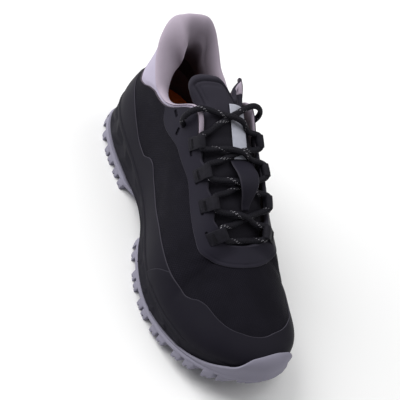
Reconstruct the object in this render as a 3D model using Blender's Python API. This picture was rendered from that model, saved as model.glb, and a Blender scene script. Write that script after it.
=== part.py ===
"""Right hiking shoe, built on the sections of its last.

The last frame is in millimetres: x runs from the heel (0) to the toe, y is
positive on the medial side and negative on the lateral side, z is up from the
floor. One root empty scales it to metres and centres it over the origin.
"""
import math
from collections import namedtuple

import bmesh
import bpy
import numpy as np

MM = 0.001
GAP = 0.3

# Driving dimensions, in millimetres
WALL = 1.8
FEATHER_INSET = 2.0
TOE_FEATHER_INSET = 5.0
SEAT = 0.5
SPRING_START_X = 205.0
SPRING_RUN = 92.0
SPRING_RISE = 22.0
SPINE_Y = 4.0
THROAT_X = 204.0
THROAT_Z = 71.8
PIVOT_X = 250.0
SPINE_SLOPE = -0.36
SPINE_CURVE = 0.0008
THROAT_ALONG = 0.72
PIVOT_ALONG = 0.885
EYELET_ALONG = 0.339
CAP_ALONG = 0.645
OVERLAY = 0.7
LUG_HEIGHT = 5.5
SHEET = 3.5
HEEL_BEVEL_X = 14.0
HEEL_BEVEL_RISE = 4.0
ARCH_LIFT = 3.0
WAIST_INSET = 9.0
BUMPER_WALL = 2.0
BUMPER_CLEAR = 2.0
RECESS_INSET = 8.0
INSOLE_THICK = 4.0
CORD = 4.0
CORD_SIDES = 7

# Sole outline: one row for each station along the foot
Outline = namedtuple("Outline", "x lateral_y medial_y")
OUTLINE = [
    Outline(0.0, 0.0, 0.0),
    Outline(9.0, -23.2, 23.0),
    Outline(25.0, -33.6, 34.2),
    Outline(50.0, -38.7, 38.3),
    Outline(88.0, -38.0, 37.2),
    Outline(122.0, -38.6, 36.2),
    Outline(152.0, -45.2, 40.0),
    Outline(185.0, -54.7, 48.9),
    Outline(218.0, -56.5, 53.2),
    Outline(250.0, -49.6, 50.4),
    Outline(275.0, -36.0, 42.2),
    Outline(290.0, -19.0, 27.2),
    Outline(297.0, 4.0, 4.0),
]

# Height of the feather line over the floor, before the toe spring is added
Feather = namedtuple("Feather", "x z")
FEATHER = [
    Feather(-5.0, 36.0),
    Feather(40.0, 36.0),
    Feather(80.0, 32.7),
    Feather(125.0, 24.8),
    Feather(170.0, 22.4),
    Feather(215.0, 23.4),
    Feather(260.0, 22.6),
    Feather(300.0, 21.2),
]

# Panel lines on the wall, by perimeter station (0 heel, 1 toe, 2 heel again):
# film is the overlay's height over the feather line, in millimetres
Film = namedtuple("Film", "at height")
FILM = [
    Film(0.000, 30.0),
    Film(0.150, 26.0),
    Film(0.240, 19.5),
    Film(0.300, 15.4),
    Film(0.355, 24.5),
    Film(0.400, 22.4),
    Film(0.460, 20.6),
    Film(0.545, 24.2),
    Film(0.660, 24.4),
    Film(0.725, 24.0),
    Film(0.772, 31.2),
    Film(0.842, 29.0),
    Film(0.940, 27.0),
    Film(1.052, 27.2),
    Film(1.118, 25.5),
    Film(1.195, 20.0),
    Film(1.340, 22.0),
    Film(1.540, 21.0),
    Film(1.645, 24.5),
    Film(1.700, 15.4),
    Film(1.850, 26.0),
]
# Eyestay depth and cuff depth below the topline, by share of a side
Stay = namedtuple("Stay", "along depth")
STAY = [
    Stay(0.275, 3.0),
    Stay(0.300, 15.0),
    Stay(0.345, 34.0),
    Stay(0.398, 26.0),
    Stay(0.485, 17.0),
    Stay(0.562, 18.6),
    Stay(0.640, 19.5),
    Stay(0.690, 23.0),
    Stay(0.725, 21.6),
    Stay(0.738, 17.0),
    Stay(0.747, 8.0),
    Stay(0.751, 0.0),
]
Cuff = namedtuple("Cuff", "along depth thick")
CUFF = [
    Cuff(0.000, 51.0, 9.0),
    Cuff(0.092, 48.0, 9.0),
    Cuff(0.134, 41.0, 8.0),
    Cuff(0.175, 27.0, 7.0),
    Cuff(0.205, 14.0, 6.0),
    Cuff(0.247, 5.0, 4.8),
    Cuff(0.300, 4.6, 4.2),
    Cuff(0.339, 4.6, 4.0),
]
# Edge of the outsole's cup over its floor: a lip, rising to the toe bumper
Bumper = namedtuple("Bumper", "at height")
BUMPER = [
    Bumper(0.000, 1.0),
    Bumper(0.290, 1.0),
    Bumper(0.345, 0.15),
    Bumper(0.475, 0.15),
    Bumper(0.547, 1.0),
    Bumper(0.800, 1.2),
    Bumper(0.860, 3.5),
    Bumper(0.900, 7.0),
    Bumper(0.925, 10.0),
    Bumper(0.965, 18.0),
    Bumper(1.025, 20.5),
    Bumper(1.075, 18.0),
    Bumper(1.100, 12.0),
    Bumper(1.130, 6.0),
    Bumper(1.180, 2.4),
    Bumper(1.240, 1.0),
    Bumper(1.453, 1.0),
    Bumper(1.525, 0.15),
    Bumper(1.655, 0.15),
    Bumper(1.710, 1.0),
    Bumper(2.000, 1.0),
]

# Upper sections from heel to toe: along is the share of the side's perimeter,
# top is the topline point, and the foot and top handles bend the wall
# outwards (out) and upwards (up)
Section = namedtuple("Section", "name along top_x top_y top_z foot_out foot_up top_out top_up")
LATERAL = [
    Section("heel", 0.000, 10.0, 1.0, 130.0, 2.0, 28.0, -16.0, -32.0),
    Section("heel_corner", 0.073, 14.0, -14.0, 127.0, 2.0, 27.0, -12.0, -32.0),
    Section("heel_side", 0.134, 25.0, -24.0, 112.0, 1.0, 26.0, -5.0, -28.0),
    Section("collar_back", 0.187, 42.0, -28.0, 99.5, 0.0, 24.0, 0.0, -24.0),
    Section("collar_dip", 0.247, 64.0, -29.0, 91.5, 0.0, 22.0, 3.0, -22.0),
    Section("collar_front", 0.299, 83.0, -25.5, 100.0, 0.0, 24.0, 6.0, -24.0),
    Section("eyelet_top", 0.339, 97.0, -20.5, 115.0, 0.0, 28.0, 9.0, -26.0),
    Section("eyestay_high", 0.408, 122.0, -19.8, 106.5, 0.5, 28.0, 11.0, -20.0),
    Section("eyestay_mid", 0.489, 149.0, -19.5, 95.8, 1.0, 26.0, 14.0, -15.0),
    Section("eyestay_low", 0.574, 174.0, -18.2, 86.5, 1.5, 24.0, 18.0, -12.0),
    Section("throat_side", 0.646, 193.5, -16.0, 77.8, 2.0, 22.0, 21.0, -7.0),
    Section("throat_corner", 0.685, 202.3, -10.0, 73.2, 2.0, 20.0, 24.0, -3.0),
    Section("throat_bottom", 0.720, 204.0, 4.0, 71.8, 2.0, 19.0, 28.0, 0.0),
    Section("vamp", 0.775, 0.0, 0.0, 0.0, 2.0, 17.0, 27.0, 0.0),
    Section("vamp_front", 0.830, 0.0, 0.0, 0.0, 2.0, 15.0, 24.0, 0.0),
    Section("toe_side", 0.885, 0.0, 0.0, 0.0, 2.5, 13.0, 22.0, 0.0),
    Section("toe_corner", 0.945, 0.0, 0.0, 0.0, 3.0, 13.0, 21.0, 0.0),
    Section("toe", 1.000, 0.0, 0.0, 0.0, 3.0, 13.0, 21.0, 0.0),
]
MEDIAL = [
    Section("heel_corner", 0.073, 14.0, 18.0, 127.0, 2.0, 27.0, -12.0, -32.0),
    Section("heel_side", 0.134, 25.0, 28.0, 113.0, 1.0, 26.0, -5.0, -28.0),
    Section("collar_back", 0.187, 42.0, 31.0, 99.5, 0.0, 24.0, 0.0, -24.0),
    Section("collar_dip", 0.247, 62.0, 31.5, 92.0, 0.0, 22.0, 2.0, -22.0),
    Section("collar_front", 0.299, 80.0, 31.0, 100.0, 0.0, 24.0, 4.0, -24.0),
    Section("eyelet_top", 0.339, 94.0, 31.0, 116.5, 0.0, 28.0, 6.0, -26.0),
    Section("eyestay_high", 0.408, 120.0, 32.5, 106.0, 0.0, 28.0, 7.0, -22.0),
    Section("eyestay_mid", 0.489, 147.0, 33.5, 94.7, 0.5, 26.0, 9.0, -18.0),
    Section("eyestay_low", 0.574, 173.0, 31.5, 85.0, 1.0, 24.0, 13.0, -14.0),
    Section("throat_side", 0.646, 193.0, 27.0, 77.0, 1.0, 21.0, 17.0, -9.0),
    Section("throat_corner", 0.685, 202.3, 20.5, 73.2, 1.0, 19.0, 21.0, -4.0),
    Section("throat_bottom", 0.720, 204.0, 4.0, 71.8, 2.5, 18.0, 28.0, 0.0),
    Section("vamp", 0.775, 0.0, 0.0, 0.0, 2.5, 16.0, 28.0, 0.0),
    Section("vamp_front", 0.830, 0.0, 0.0, 0.0, 2.5, 15.0, 26.0, 0.0),
    Section("toe_side", 0.885, 0.0, 0.0, 0.0, 2.5, 13.5, 24.0, 0.0),
    Section("toe_corner", 0.945, 0.0, 0.0, 0.0, 2.5, 13.0, 21.0, 0.0),
]


# Curves through the rows of a table

def natural_cubic(knots, values):
    """Return a smooth curve through the values, straight at both ends."""
    knots = np.asarray(knots, float)
    values = np.asarray(values, float)
    step = np.diff(knots)
    count = len(knots)
    matrix = np.eye(count)
    right = np.zeros_like(values)
    for i in range(1, count - 1):
        matrix[i, i - 1:i + 2] = step[i - 1], 2.0 * (step[i - 1] + step[i]), step[i]
        rise = (values[i + 1] - values[i]) / step[i] - (values[i] - values[i - 1]) / step[i - 1]
        right[i] = 6.0 * rise
    bend = np.linalg.solve(matrix, right)

    def curve(at):
        at = np.asarray(at, float)
        cell = np.clip(np.searchsorted(knots, at) - 1, 0, count - 2)
        width = step[cell]
        a = (knots[cell + 1] - at) / width
        b = (at - knots[cell]) / width
        if values.ndim > 1:
            a, b, width = a[..., None], b[..., None], width[..., None]
        ends = a * values[cell] + b * values[cell + 1]
        bulge = (a ** 3 - a) * bend[cell] + (b ** 3 - b) * bend[cell + 1]
        return ends + bulge * width ** 2 / 6.0

    return curve


def loop_curve(knots, values, period):
    """Return a smooth closed curve through the values."""
    knots = np.asarray(knots, float)
    values = np.asarray(values, float)
    wide = np.concatenate([knots - period, knots, knots + period])
    curve = natural_cubic(wide, np.concatenate([values, values, values]))
    return lambda at: curve(np.mod(at, period))


def smoothstep(low, high, at):
    share = np.clip((np.asarray(at, float) - low) / (high - low), 0.0, 1.0)
    return share * share * (3.0 - 2.0 * share)


# Perimeter: 0 at the heel, 1 at the toe along the lateral side, and on to 2
# back at the heel along the medial side

def build_outline():
    lateral = np.array([(row.x, row.lateral_y) for row in OUTLINE])
    medial = np.array([(row.x, row.medial_y) for row in OUTLINE])

    def shares(points):
        lengths = np.hypot(*np.diff(points, axis=0).T)
        return np.concatenate([[0.0], np.cumsum(lengths)]) / lengths.sum()

    knots = np.concatenate([shares(lateral), 2.0 - shares(medial)[-2:0:-1]])
    return loop_curve(knots, np.concatenate([lateral, medial[-2:0:-1]]), 2.0)


outline = build_outline()


def outline_out(at):
    """Return the plan direction that points out of the outline."""
    tangent = outline(np.asarray(at) + 0.002) - outline(np.asarray(at) - 0.002)
    tangent /= np.linalg.norm(tangent, axis=-1, keepdims=True)
    return np.stack([tangent[..., 1], -tangent[..., 0]], axis=-1)


def inset_outline(at, inset):
    return outline(at) - outline_out(at) * np.asarray(inset)[..., None]


def toe_spring(x):
    ahead = np.maximum(np.asarray(x, float) - SPRING_START_X, 0.0)
    return SPRING_RISE * (ahead / SPRING_RUN) ** 2


feather_base = natural_cubic([row.x for row in FEATHER], [row.z for row in FEATHER])


def feather_z(x):
    return feather_base(x) + 0.8 * toe_spring(x)


# Upper: each section is a Bezier wall from the feather line to the topline

def along_of(at):
    at = np.mod(at, 2.0)
    return np.minimum(at, 2.0 - at)


def spine_x(along):
    share = np.clip((along - THROAT_ALONG) / (PIVOT_ALONG - THROAT_ALONG), 0.0, 1.0)
    return THROAT_X + (PIVOT_X - THROAT_X) * (1.0 - (1.0 - share) ** 2)


def spine_z(x):
    ahead = x - THROAT_X
    return THROAT_Z + SPINE_SLOPE * ahead + SPINE_CURVE * ahead ** 2


def spine_fall(x):
    return SPINE_SLOPE + 2.0 * SPINE_CURVE * (x - THROAT_X)


def build_columns():
    """Return the curves of the topline and of the wall's handles."""
    rows = LATERAL + MEDIAL[::-1]
    knots = [row.along for row in LATERAL] + [2.0 - row.along for row in MEDIAL[::-1]]
    handles = [(row.foot_out, row.foot_up, row.top_out, row.top_up) for row in rows]
    back = [row for row in LATERAL if row.along <= THROAT_ALONG]
    inner = [row for row in MEDIAL if row.along <= THROAT_ALONG]
    top_knots = [-row.along for row in inner[::-1]] + [row.along for row in back]
    tops = [(row.top_x, row.top_y, row.top_z) for row in inner[::-1] + back]
    return natural_cubic(top_knots, tops), loop_curve(knots, handles, 2.0)


quarter_top, handle_columns = build_columns()


def topline(at):
    along = along_of(at)
    signed = np.where(np.mod(at, 2.0) <= 1.0, along, -along)
    limit = np.clip(signed, -THROAT_ALONG, THROAT_ALONG)
    x = spine_x(along)
    spine = np.stack([x, np.full_like(x, SPINE_Y), spine_z(x)], axis=-1)
    return np.where((along >= THROAT_ALONG)[..., None], spine, quarter_top(limit))


def toe_share(at):
    """Return 1 round the toe, where the bumper wraps the upper, and 0 behind it."""
    return smoothstep(0.80, 0.92, along_of(at))


def feather_inset(at):
    return FEATHER_INSET + (TOE_FEATHER_INSET - FEATHER_INSET) * toe_share(at)


def wall_handles(at):
    """Return the four control points of each section's wall."""
    at = np.asarray(at, float)
    foot_xy = inset_outline(at, feather_inset(at))
    foot = np.concatenate([foot_xy, feather_z(foot_xy[..., :1])], axis=-1)
    top = topline(at)
    out = outline_out(at)
    foot_out, foot_up, top_out, top_up = np.moveaxis(handle_columns(at), -1, 0)
    on_spine = along_of(at) >= THROAT_ALONG
    spine_rise = spine_fall(top[..., 0]) * out[..., 0] * top_out
    top_up = np.where(on_spine, spine_rise, top_up)
    first = foot + np.concatenate([out * foot_out[..., None], foot_up[..., None]], axis=-1)
    second = top + np.concatenate([out * top_out[..., None], top_up[..., None]], axis=-1)
    return foot, first, second, top


BEZIER_STEPS = np.linspace(0.0, 1.0, 49)


def wall_points(at, share):
    """Return wall points: share runs by length from feather (0) to topline (1)."""
    at, share = np.broadcast_arrays(np.asarray(at, float), np.asarray(share, float))
    flat_at = at.ravel()
    flat_share = share.ravel()
    controls = wall_handles(flat_at)

    def bezier(t):
        weights = ((1 - t) ** 3, 3 * t * (1 - t) ** 2, 3 * t * t * (1 - t), t ** 3)
        return sum(w[..., None] * c for w, c in zip(weights, controls))

    samples = np.stack([bezier(np.full(flat_at.shape, t)) for t in BEZIER_STEPS])
    lengths = np.linalg.norm(np.diff(samples, axis=0), axis=-1)
    run = np.concatenate([np.zeros((1, len(flat_at))), np.cumsum(lengths, axis=0)])
    run /= run[-1]
    t = np.array([np.interp(s, run[:, i], BEZIER_STEPS) for i, s in enumerate(flat_share)])
    return bezier(t).reshape(at.shape + (3,))


def wall_length(at):
    points = wall_points(np.asarray(at, float)[..., None], np.linspace(0.0, 1.0, 25))
    return np.linalg.norm(np.diff(points, axis=-2), axis=-1).sum(axis=-1)


def wall_normals(at, share):
    at, share = np.broadcast_arrays(np.asarray(at, float), np.asarray(share, float))
    low = np.clip(share - 0.01, 0.0, 0.985)
    rise = wall_points(at, low + 0.015) - wall_points(at, low)
    run = wall_points(at + 0.003, share) - wall_points(at - 0.003, share)
    normal = np.cross(run, rise)
    return normal / np.linalg.norm(normal, axis=-1, keepdims=True)


def wall_offset(at, share, offset):
    return wall_points(at, share) + wall_normals(at, share) * np.asarray(offset)[..., None]


# Mesh helpers

def new_object(name, mesh_source, material, root, smooth_angle=40.0):
    mesh = bpy.data.meshes.new(name)
    mesh_source.to_mesh(mesh)
    mesh_source.free()
    mesh.shade_smooth()
    mesh.set_sharp_from_angle(angle=math.radians(smooth_angle))
    mesh.materials.append(material)
    piece = bpy.data.objects.new(name, mesh)
    bpy.context.scene.collection.objects.link(piece)
    piece.parent = root
    return piece


def grid_mesh(points, closed_columns=False):
    """Make a sheet from points[column][row]."""
    sheet = bmesh.new()
    verts = [[sheet.verts.new(tuple(p)) for p in column] for column in points]
    count = len(verts)
    for i in range(count if closed_columns else count - 1):
        here, there = verts[i], verts[(i + 1) % count]
        for j in range(len(here) - 1):
            sheet.faces.new((here[j], there[j], there[j + 1], here[j + 1]))
    return sheet


def add_solidify(piece, thickness, offset):
    solid = piece.modifiers.new("Wall", "SOLIDIFY")
    solid.thickness = thickness
    solid.offset = offset
    solid.use_even_offset = True
    solid.use_rim = True


def principled(name, colour, roughness, metallic=0.0):
    material = bpy.data.materials.new(name)
    material.use_nodes = True
    shader = material.node_tree.nodes["Principled BSDF"]
    shader.inputs["Base Color"].default_value = (*colour, 1.0)
    shader.inputs["Roughness"].default_value = roughness
    shader.inputs["Metallic"].default_value = metallic
    material.diffuse_color = (*colour, 1.0)
    return material


FORE_COLUMNS = 14
FILM_ROWS = 2
FIELD_ROWS = 3
STAY_ROWS = 2


def table_line(rows, key, value):
    """Return a straight-line reading of two columns of a table."""
    places = [getattr(row, key) for row in rows]
    values = [getattr(row, value) for row in rows]
    return lambda at: np.interp(at, places, values)


film_line = table_line(FILM + [Film(2.0, FILM[0].height)], "at", "height")
stay_line = table_line(STAY, "along", "depth")
cuff_depth = table_line(CUFF, "along", "depth")
cuff_thick = table_line(CUFF, "along", "thick")
bumper_line = table_line(BUMPER, "at", "height")


def side_columns():
    """Return one side's stations, with one at the cuff's end and the throat."""
    collar = np.linspace(0.0, EYELET_ALONG, 13)
    stay = np.linspace(EYELET_ALONG, THROAT_ALONG, 14)[1:]
    fore = np.linspace(THROAT_ALONG, 1.0, FORE_COLUMNS + 1)[1:]
    return np.concatenate([collar, stay, fore])


def both_sides(half):
    return np.concatenate([half, 2.0 - half[-2:0:-1]])


def panel_shares(at):
    """Return the wall's film, eyestay and top lines as shares of its length."""
    length = wall_length(at)
    along = along_of(at)
    collar = along <= EYELET_ALONG + 1e-6
    top = np.where(collar, 1.0 - (cuff_depth(along) + SEAT) / length, 1.0)
    film = np.minimum(film_line(np.mod(at, 2.0)) / length, 0.8 * top)
    stay_depth = np.where(along < STAY[0].along, 0.25 * length, stay_line(along))
    stay = np.maximum(np.minimum(1.0 - stay_depth / length, top - 0.02), film + 0.02)
    return film, stay, top


def wall_rows(at):
    """Return each column's row shares, with a row on every panel line."""
    film, stay, top = panel_shares(at)
    foot = (SEAT / wall_length(at))[:, None]
    low = foot + (film[:, None] - foot) * np.linspace(0.0, 1.0, FILM_ROWS + 1)
    field = film[:, None] + (stay - film)[:, None] * np.linspace(0.0, 1.0, FIELD_ROWS + 1)[1:]
    high = stay[:, None] + (top - stay)[:, None] * np.linspace(0.0, 1.0, STAY_ROWS + 1)[1:]
    return np.concatenate([low, field, high], axis=1)


def build_upper(root, material):
    at = both_sides(side_columns())
    sheet = grid_mesh(wall_points(at[:, None], wall_rows(at)), closed_columns=True)
    bmesh.ops.remove_doubles(sheet, verts=sheet.verts, dist=0.001)
    upper = new_object("upper", sheet, material, root)
    add_solidify(upper, WALL, -1.0)
    return upper


def overlay_sheet(at, shares):
    points = wall_offset(at[:, None], shares, np.full(shares.shape, GAP))
    return grid_mesh(points)


def build_film_overlay(name, at, root, material):
    shares = wall_rows(at)[:, :FILM_ROWS + 1]
    piece = new_object(name, overlay_sheet(at, shares), material, root)
    add_solidify(piece, OVERLAY, 1.0)
    return piece


def build_toe_cap(root, material):
    half = side_columns()
    fore = half[half > CAP_ALONG]
    at = np.concatenate([fore, 2.0 - fore[-2::-1]])
    return build_film_overlay("toe_cap", at, root, material)


def build_side_overlay(root, material):
    half = side_columns()
    back = half[half < CAP_ALONG]
    seam = CAP_ALONG + 0.25 * (half[half > CAP_ALONG][0] - CAP_ALONG)
    half_at = np.append(back, seam)
    at = np.concatenate([-half_at[:0:-1], half_at])
    return build_film_overlay("side_overlay", at, root, material)


def build_eyestay(root, material):
    half = side_columns()
    keep = half[(half > STAY[1].along) & (half <= THROAT_ALONG)]
    front = np.linspace(THROAT_ALONG, STAY[-1].along, 7)[1:]
    side = np.concatenate([keep, front])
    at = np.concatenate([side, 2.0 - side[::-1]])
    stay, top = panel_shares(at)[1:]
    shares = stay[:, None] + (top - stay)[:, None] * np.linspace(0.0, 1.0, STAY_ROWS + 1)
    sheet = overlay_sheet(at, shares)
    bmesh.ops.remove_doubles(sheet, verts=sheet.verts, dist=0.01)
    piece = new_object("eyestay", sheet, material, root)
    add_solidify(piece, OVERLAY, 1.0)
    return piece


CUFF_SIDE_POINTS = 5
CUFF_ROUND = (0.25, 0.5, 0.75)
CUFF_BULGE = 1.6


def cuff_ring(at):
    """Return one closed ring of the padded cuff, from its outer foot round the top."""
    along = along_of(at)
    length = float(wall_length(np.array([at]))[0])
    thick = float(cuff_thick(along))
    depth = float(cuff_depth(along))
    steps = np.linspace(0.0, 1.0, CUFF_SIDE_POINTS)
    share = 1.0 - (depth + (0.5 * thick - depth) * steps) / length
    bulge = CUFF_BULGE * np.sin(math.pi * steps) * min(1.0, depth / 40.0)
    outer = wall_offset(np.full(share.shape, at), share, bulge)
    inner = wall_offset(np.full(share.shape, at), share, -thick - 0.5 * bulge)[::-1]
    normal = (outer[-1] - inner[0]) / np.linalg.norm(outer[-1] - inner[0])
    rise = outer[-1] - outer[-2]
    rise -= normal * rise.dot(normal)
    rise /= np.linalg.norm(rise)
    centre = 0.5 * (outer[-1] + inner[0])
    radius = 0.5 * np.linalg.norm(outer[-1] - inner[0])
    turn = [math.pi * share_of_turn for share_of_turn in CUFF_ROUND]
    crown = [centre + radius * (math.cos(a) * normal + math.sin(a) * rise) for a in turn]
    return np.concatenate([outer, crown, inner])


def loft(rings):
    """Make a closed body through rings of equal point counts, capped at both ends."""
    body = bmesh.new()
    verts = [[body.verts.new(tuple(p)) for p in ring] for ring in rings]
    count = len(verts[0])
    for low, high in zip(verts, verts[1:]):
        for j in range(count):
            k = (j + 1) % count
            body.faces.new((low[j], low[k], high[k], high[j]))
    body.faces.new(verts[0][::-1])
    body.faces.new(verts[-1])
    bmesh.ops.recalc_face_normals(body, faces=body.faces)
    return body


def build_cuff(root, material):
    half = side_columns()
    half = half[half <= EYELET_ALONG]
    at = np.concatenate([-half[:0:-1], half])
    return new_object("collar_cuff", loft([cuff_ring(a) for a in at]), material, root, 60.0)


# Sole: rings round the perimeter, filled across with strips

def ground_z(x):
    """Return the height of the lug faces: flat at heel and ball, sprung at the toe."""
    x = np.asarray(x, float)
    back = np.maximum(HEEL_BEVEL_X - x, 0.0) / HEEL_BEVEL_X
    arch = smoothstep(92.0, 126.0, x) * (1.0 - smoothstep(130.0, 164.0, x))
    return HEEL_BEVEL_RISE * back ** 2 + ARCH_LIFT * arch + toe_spring(x)


def outsole_top(x):
    return ground_z(x) + LUG_HEIGHT + SHEET


def waist_inset(at):
    along = along_of(at)
    return WAIST_INSET * smoothstep(0.31, 0.40, along) * (1.0 - smoothstep(0.43, 0.51, along))


def ring_points(at, inset, height):
    xy = inset_outline(at, inset)
    return np.concatenate([xy, height(xy[:, 0])[:, None]], axis=1)


def sole_body(rings):
    """Close a stack of perimeter rings with strips from side to side."""
    body = bmesh.new()
    verts = [[body.verts.new(tuple(p)) for p in ring] for ring in rings]
    count = len(verts[0])
    for low, high in zip(verts, verts[1:]):
        for j in range(count):
            k = (j + 1) % count
            body.faces.new((low[j], low[k], high[k], high[j]))
    for ring, flip in ((verts[0], False), (verts[-1], True)):
        half = count // 2
        for j in range(half):
            corners = [ring[j], ring[j + 1], ring[(count - j - 1) % count], ring[(count - j) % count]]
            unique = [v for n, v in enumerate(corners) if v not in corners[:n]]
            body.faces.new(unique[::-1] if flip else unique)
    bmesh.ops.recalc_face_normals(body, faces=body.faces)
    return body


SOLE_COLUMNS = 42
RIB_PITCH = 0.036
RIB_DEPTH = 1.3


def midsole_ribs(at, level):
    """Return the slanted ribs of the sidewall at one level, strongest at the heel."""
    along = along_of(at)
    wave = np.mod(along / RIB_PITCH + 0.33 * level, 1.0)
    strength = 1.0 - 0.65 * smoothstep(0.25, 0.45, along)
    return RIB_DEPTH * strength * np.abs(2.0 * wave - 1.0)


def behind_bumper(at, share):
    """Return how far the midsole's side steps back behind the toe bumper."""
    low = BUMPER_WALL + 2.0 * GAP
    high = TOE_FEATHER_INSET - BUMPER_CLEAR + 2.0 * GAP
    return (low + (high - low) * share) * smoothstep(0.74, 0.83, along_of(at))


def build_midsole(root, material):
    at = both_sides(np.linspace(0.0, 1.0, SOLE_COLUMNS + 1))
    base = BUMPER_WALL + 2.0 * GAP
    tuck = base + 1.3 * waist_inset(at)

    def side_ring(share, inset):
        return ring_points(at, np.maximum(inset, behind_bumper(at, share)), side(share))

    def side(share):
        def height(x):
            low = outsole_top(x) + SEAT
            return low + (feather_z(x) - GAP - low) * share
        return height

    def recess(x):
        return feather_z(x) - 5.0 - 4.0 * (1.0 - smoothstep(60.0, 150.0, x))

    rings = [
        side_ring(0.0, tuck),
        side_ring(0.14, np.maximum(base, 0.45 * tuck)),
        side_ring(0.22, 0.6 + midsole_ribs(at, 0)),
        side_ring(0.52, 0.8 + midsole_ribs(at, 1)),
        side_ring(0.80, 1.0 + midsole_ribs(at, 2)),
        side_ring(0.86, np.full(at.shape, 0.5)),
        side_ring(0.97, np.full(at.shape, 0.7)),
        side_ring(1.0, 1.3 + 3.0 * toe_share(at)),
        ring_points(at, np.full(at.shape, RECESS_INSET - 0.6), side(1.0)),
        ring_points(at, np.full(at.shape, RECESS_INSET), recess),
    ]
    return new_object("midsole", sole_body(rings), material, root, 35.0)


def build_insole(root, material):
    at = both_sides(np.linspace(0.0, 1.0, 29))

    def floor(x):
        return feather_z(x) - 5.0 - 4.0 * (1.0 - smoothstep(60.0, 150.0, x)) + GAP

    def top(x):
        return floor(x) + INSOLE_THICK

    edge = RECESS_INSET + 0.6
    rings = [
        ring_points(at, np.full(at.shape, edge), floor),
        ring_points(at, np.full(at.shape, edge), top),
        ring_points(at, np.full(at.shape, edge + 5.0), lambda x: top(x) - 1.0),
    ]
    return new_object("insole", sole_body(rings), material, root)


# Outsole lugs: rows across the sole, by share of a side
HEEL_ROWS = (0.000, 0.045, 0.062, 0.105, 0.122, 0.165, 0.182, 0.225, 0.242, 0.285, 0.302, 0.345)
FORE_FIRST = 0.475
FORE_PITCH = 0.0525
FORE_LUG = 0.036
FORE_COUNT = 10
LANES = (0.0, 0.23, 0.29, 0.47, 0.53, 0.71, 0.77, 1.0)
LUG_DRAFT = 0.92
EDGE_SWELL = 0.4


def lug_rows():
    """Return the row lines across the sole and which of their strips carry lugs."""
    fore = []
    for i in range(FORE_COUNT):
        start = FORE_FIRST + i * FORE_PITCH
        fore += [start, start + FORE_LUG]
    fore[-1] = 1.0
    lines = list(HEEL_ROWS) + [0.39, 0.43] + fore
    lugs = [i for i in range(0, len(HEEL_ROWS), 2)]
    first = len(HEEL_ROWS) + 2
    lugs += [i for i in range(first, len(lines), 2)]
    return np.array(lines), lugs


def cup_edge(at, rise, wall):
    """Return points on the cup's edge: beside the midsole, then over the upper's wall."""
    floor_xy = inset_outline(at, waist_inset(at) + BUMPER_WALL)
    floor = outsole_top(floor_xy[:, 0])
    foot_xy = inset_outline(at, feather_inset(at))
    foot_z = feather_z(foot_xy[:, 0])
    share = np.clip(rise / (foot_z - floor), 0.0, 1.0)
    clear = TOE_FEATHER_INSET - BUMPER_CLEAR
    inset = waist_inset(at) + BUMPER_WALL + (clear - BUMPER_WALL) * share - wall
    beside = np.concatenate([inset_outline(at, inset), (floor + rise)[:, None]], axis=1)
    above = np.maximum(floor + rise - foot_z, 0.0)
    over = wall_offset(at, above / wall_length(at), np.full(at.shape, BUMPER_CLEAR + wall))
    return np.where((above > 0.0)[:, None], over, beside)


def build_outsole(root, material):
    lines, lugs = lug_rows()
    half = np.sort(np.concatenate([lines, [0.5 * (lines[i] + lines[i + 1]) for i in lugs]]))
    at = both_sides(half)
    count = len(at)
    inset = waist_inset(at)
    rise = bumper_line(at)
    body = bmesh.new()

    def add_ring(points):
        return [body.verts.new(tuple(p)) for p in points]

    rings = [
        add_ring(ring_points(at, inset, lambda x: ground_z(x) + LUG_HEIGHT)),
        add_ring(ring_points(at, inset - EDGE_SWELL, outsole_top)),
        add_ring(cup_edge(at, 0.55 * rise, BUMPER_WALL)),
        add_ring(cup_edge(at, rise, BUMPER_WALL)),
        add_ring(cup_edge(at, rise, 0.0)),
        add_ring(cup_edge(at, 0.55 * rise, 0.0)),
        add_ring(ring_points(at, inset + BUMPER_WALL, outsole_top)),
    ]
    low, cup = rings[0], rings[-1]
    for here, there in zip(rings, rings[1:]):
        for j in range(count):
            k = (j + 1) % count
            body.faces.new((here[j], here[k], there[k], there[j]))
    for j in range(count // 2):
        corners = [cup[j], cup[j + 1], cup[(count - j - 1) % count], cup[(count - j) % count]]
        unique = [v for n, v in enumerate(corners) if v not in corners[:n]]
        body.faces.new(unique)

    lanes = []
    for j in range(count // 2 + 1):
        lateral, medial = low[j], low[(count - j) % count]
        if lateral is medial:
            lanes.append([lateral] * len(LANES))
            continue
        row = [lateral]
        for share in LANES[1:-1]:
            row.append(body.verts.new(lateral.co.lerp(medial.co, share)))
        lanes.append(row + [medial])
    cells = {}
    for j in range(count // 2):
        for n in range(len(LANES) - 1):
            corners = [lanes[j][n], lanes[j][n + 1], lanes[j + 1][n + 1], lanes[j + 1][n]]
            unique = [v for m, v in enumerate(corners) if v not in corners[:m]]
            if len(unique) > 2:
                cells[j, n] = body.faces.new(unique)
    bmesh.ops.recalc_face_normals(body, faces=body.faces)
    end_rows = (0, len(lines) - 2)
    for i in lugs:
        groups = [range(0, len(LANES) - 1)] if i in end_rows else [(n,) for n in range(0, len(LANES), 2)]
        first = int(np.searchsorted(half, lines[i]))
        for lane_group in groups:
            faces = [cells[j, n] for j in (first, first + 1) for n in lane_group if (j, n) in cells]
            extrude_lug(body, faces)
    bmesh.ops.recalc_face_normals(body, faces=body.faces)
    return new_object("outsole", body, material, root, 30.0)


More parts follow.
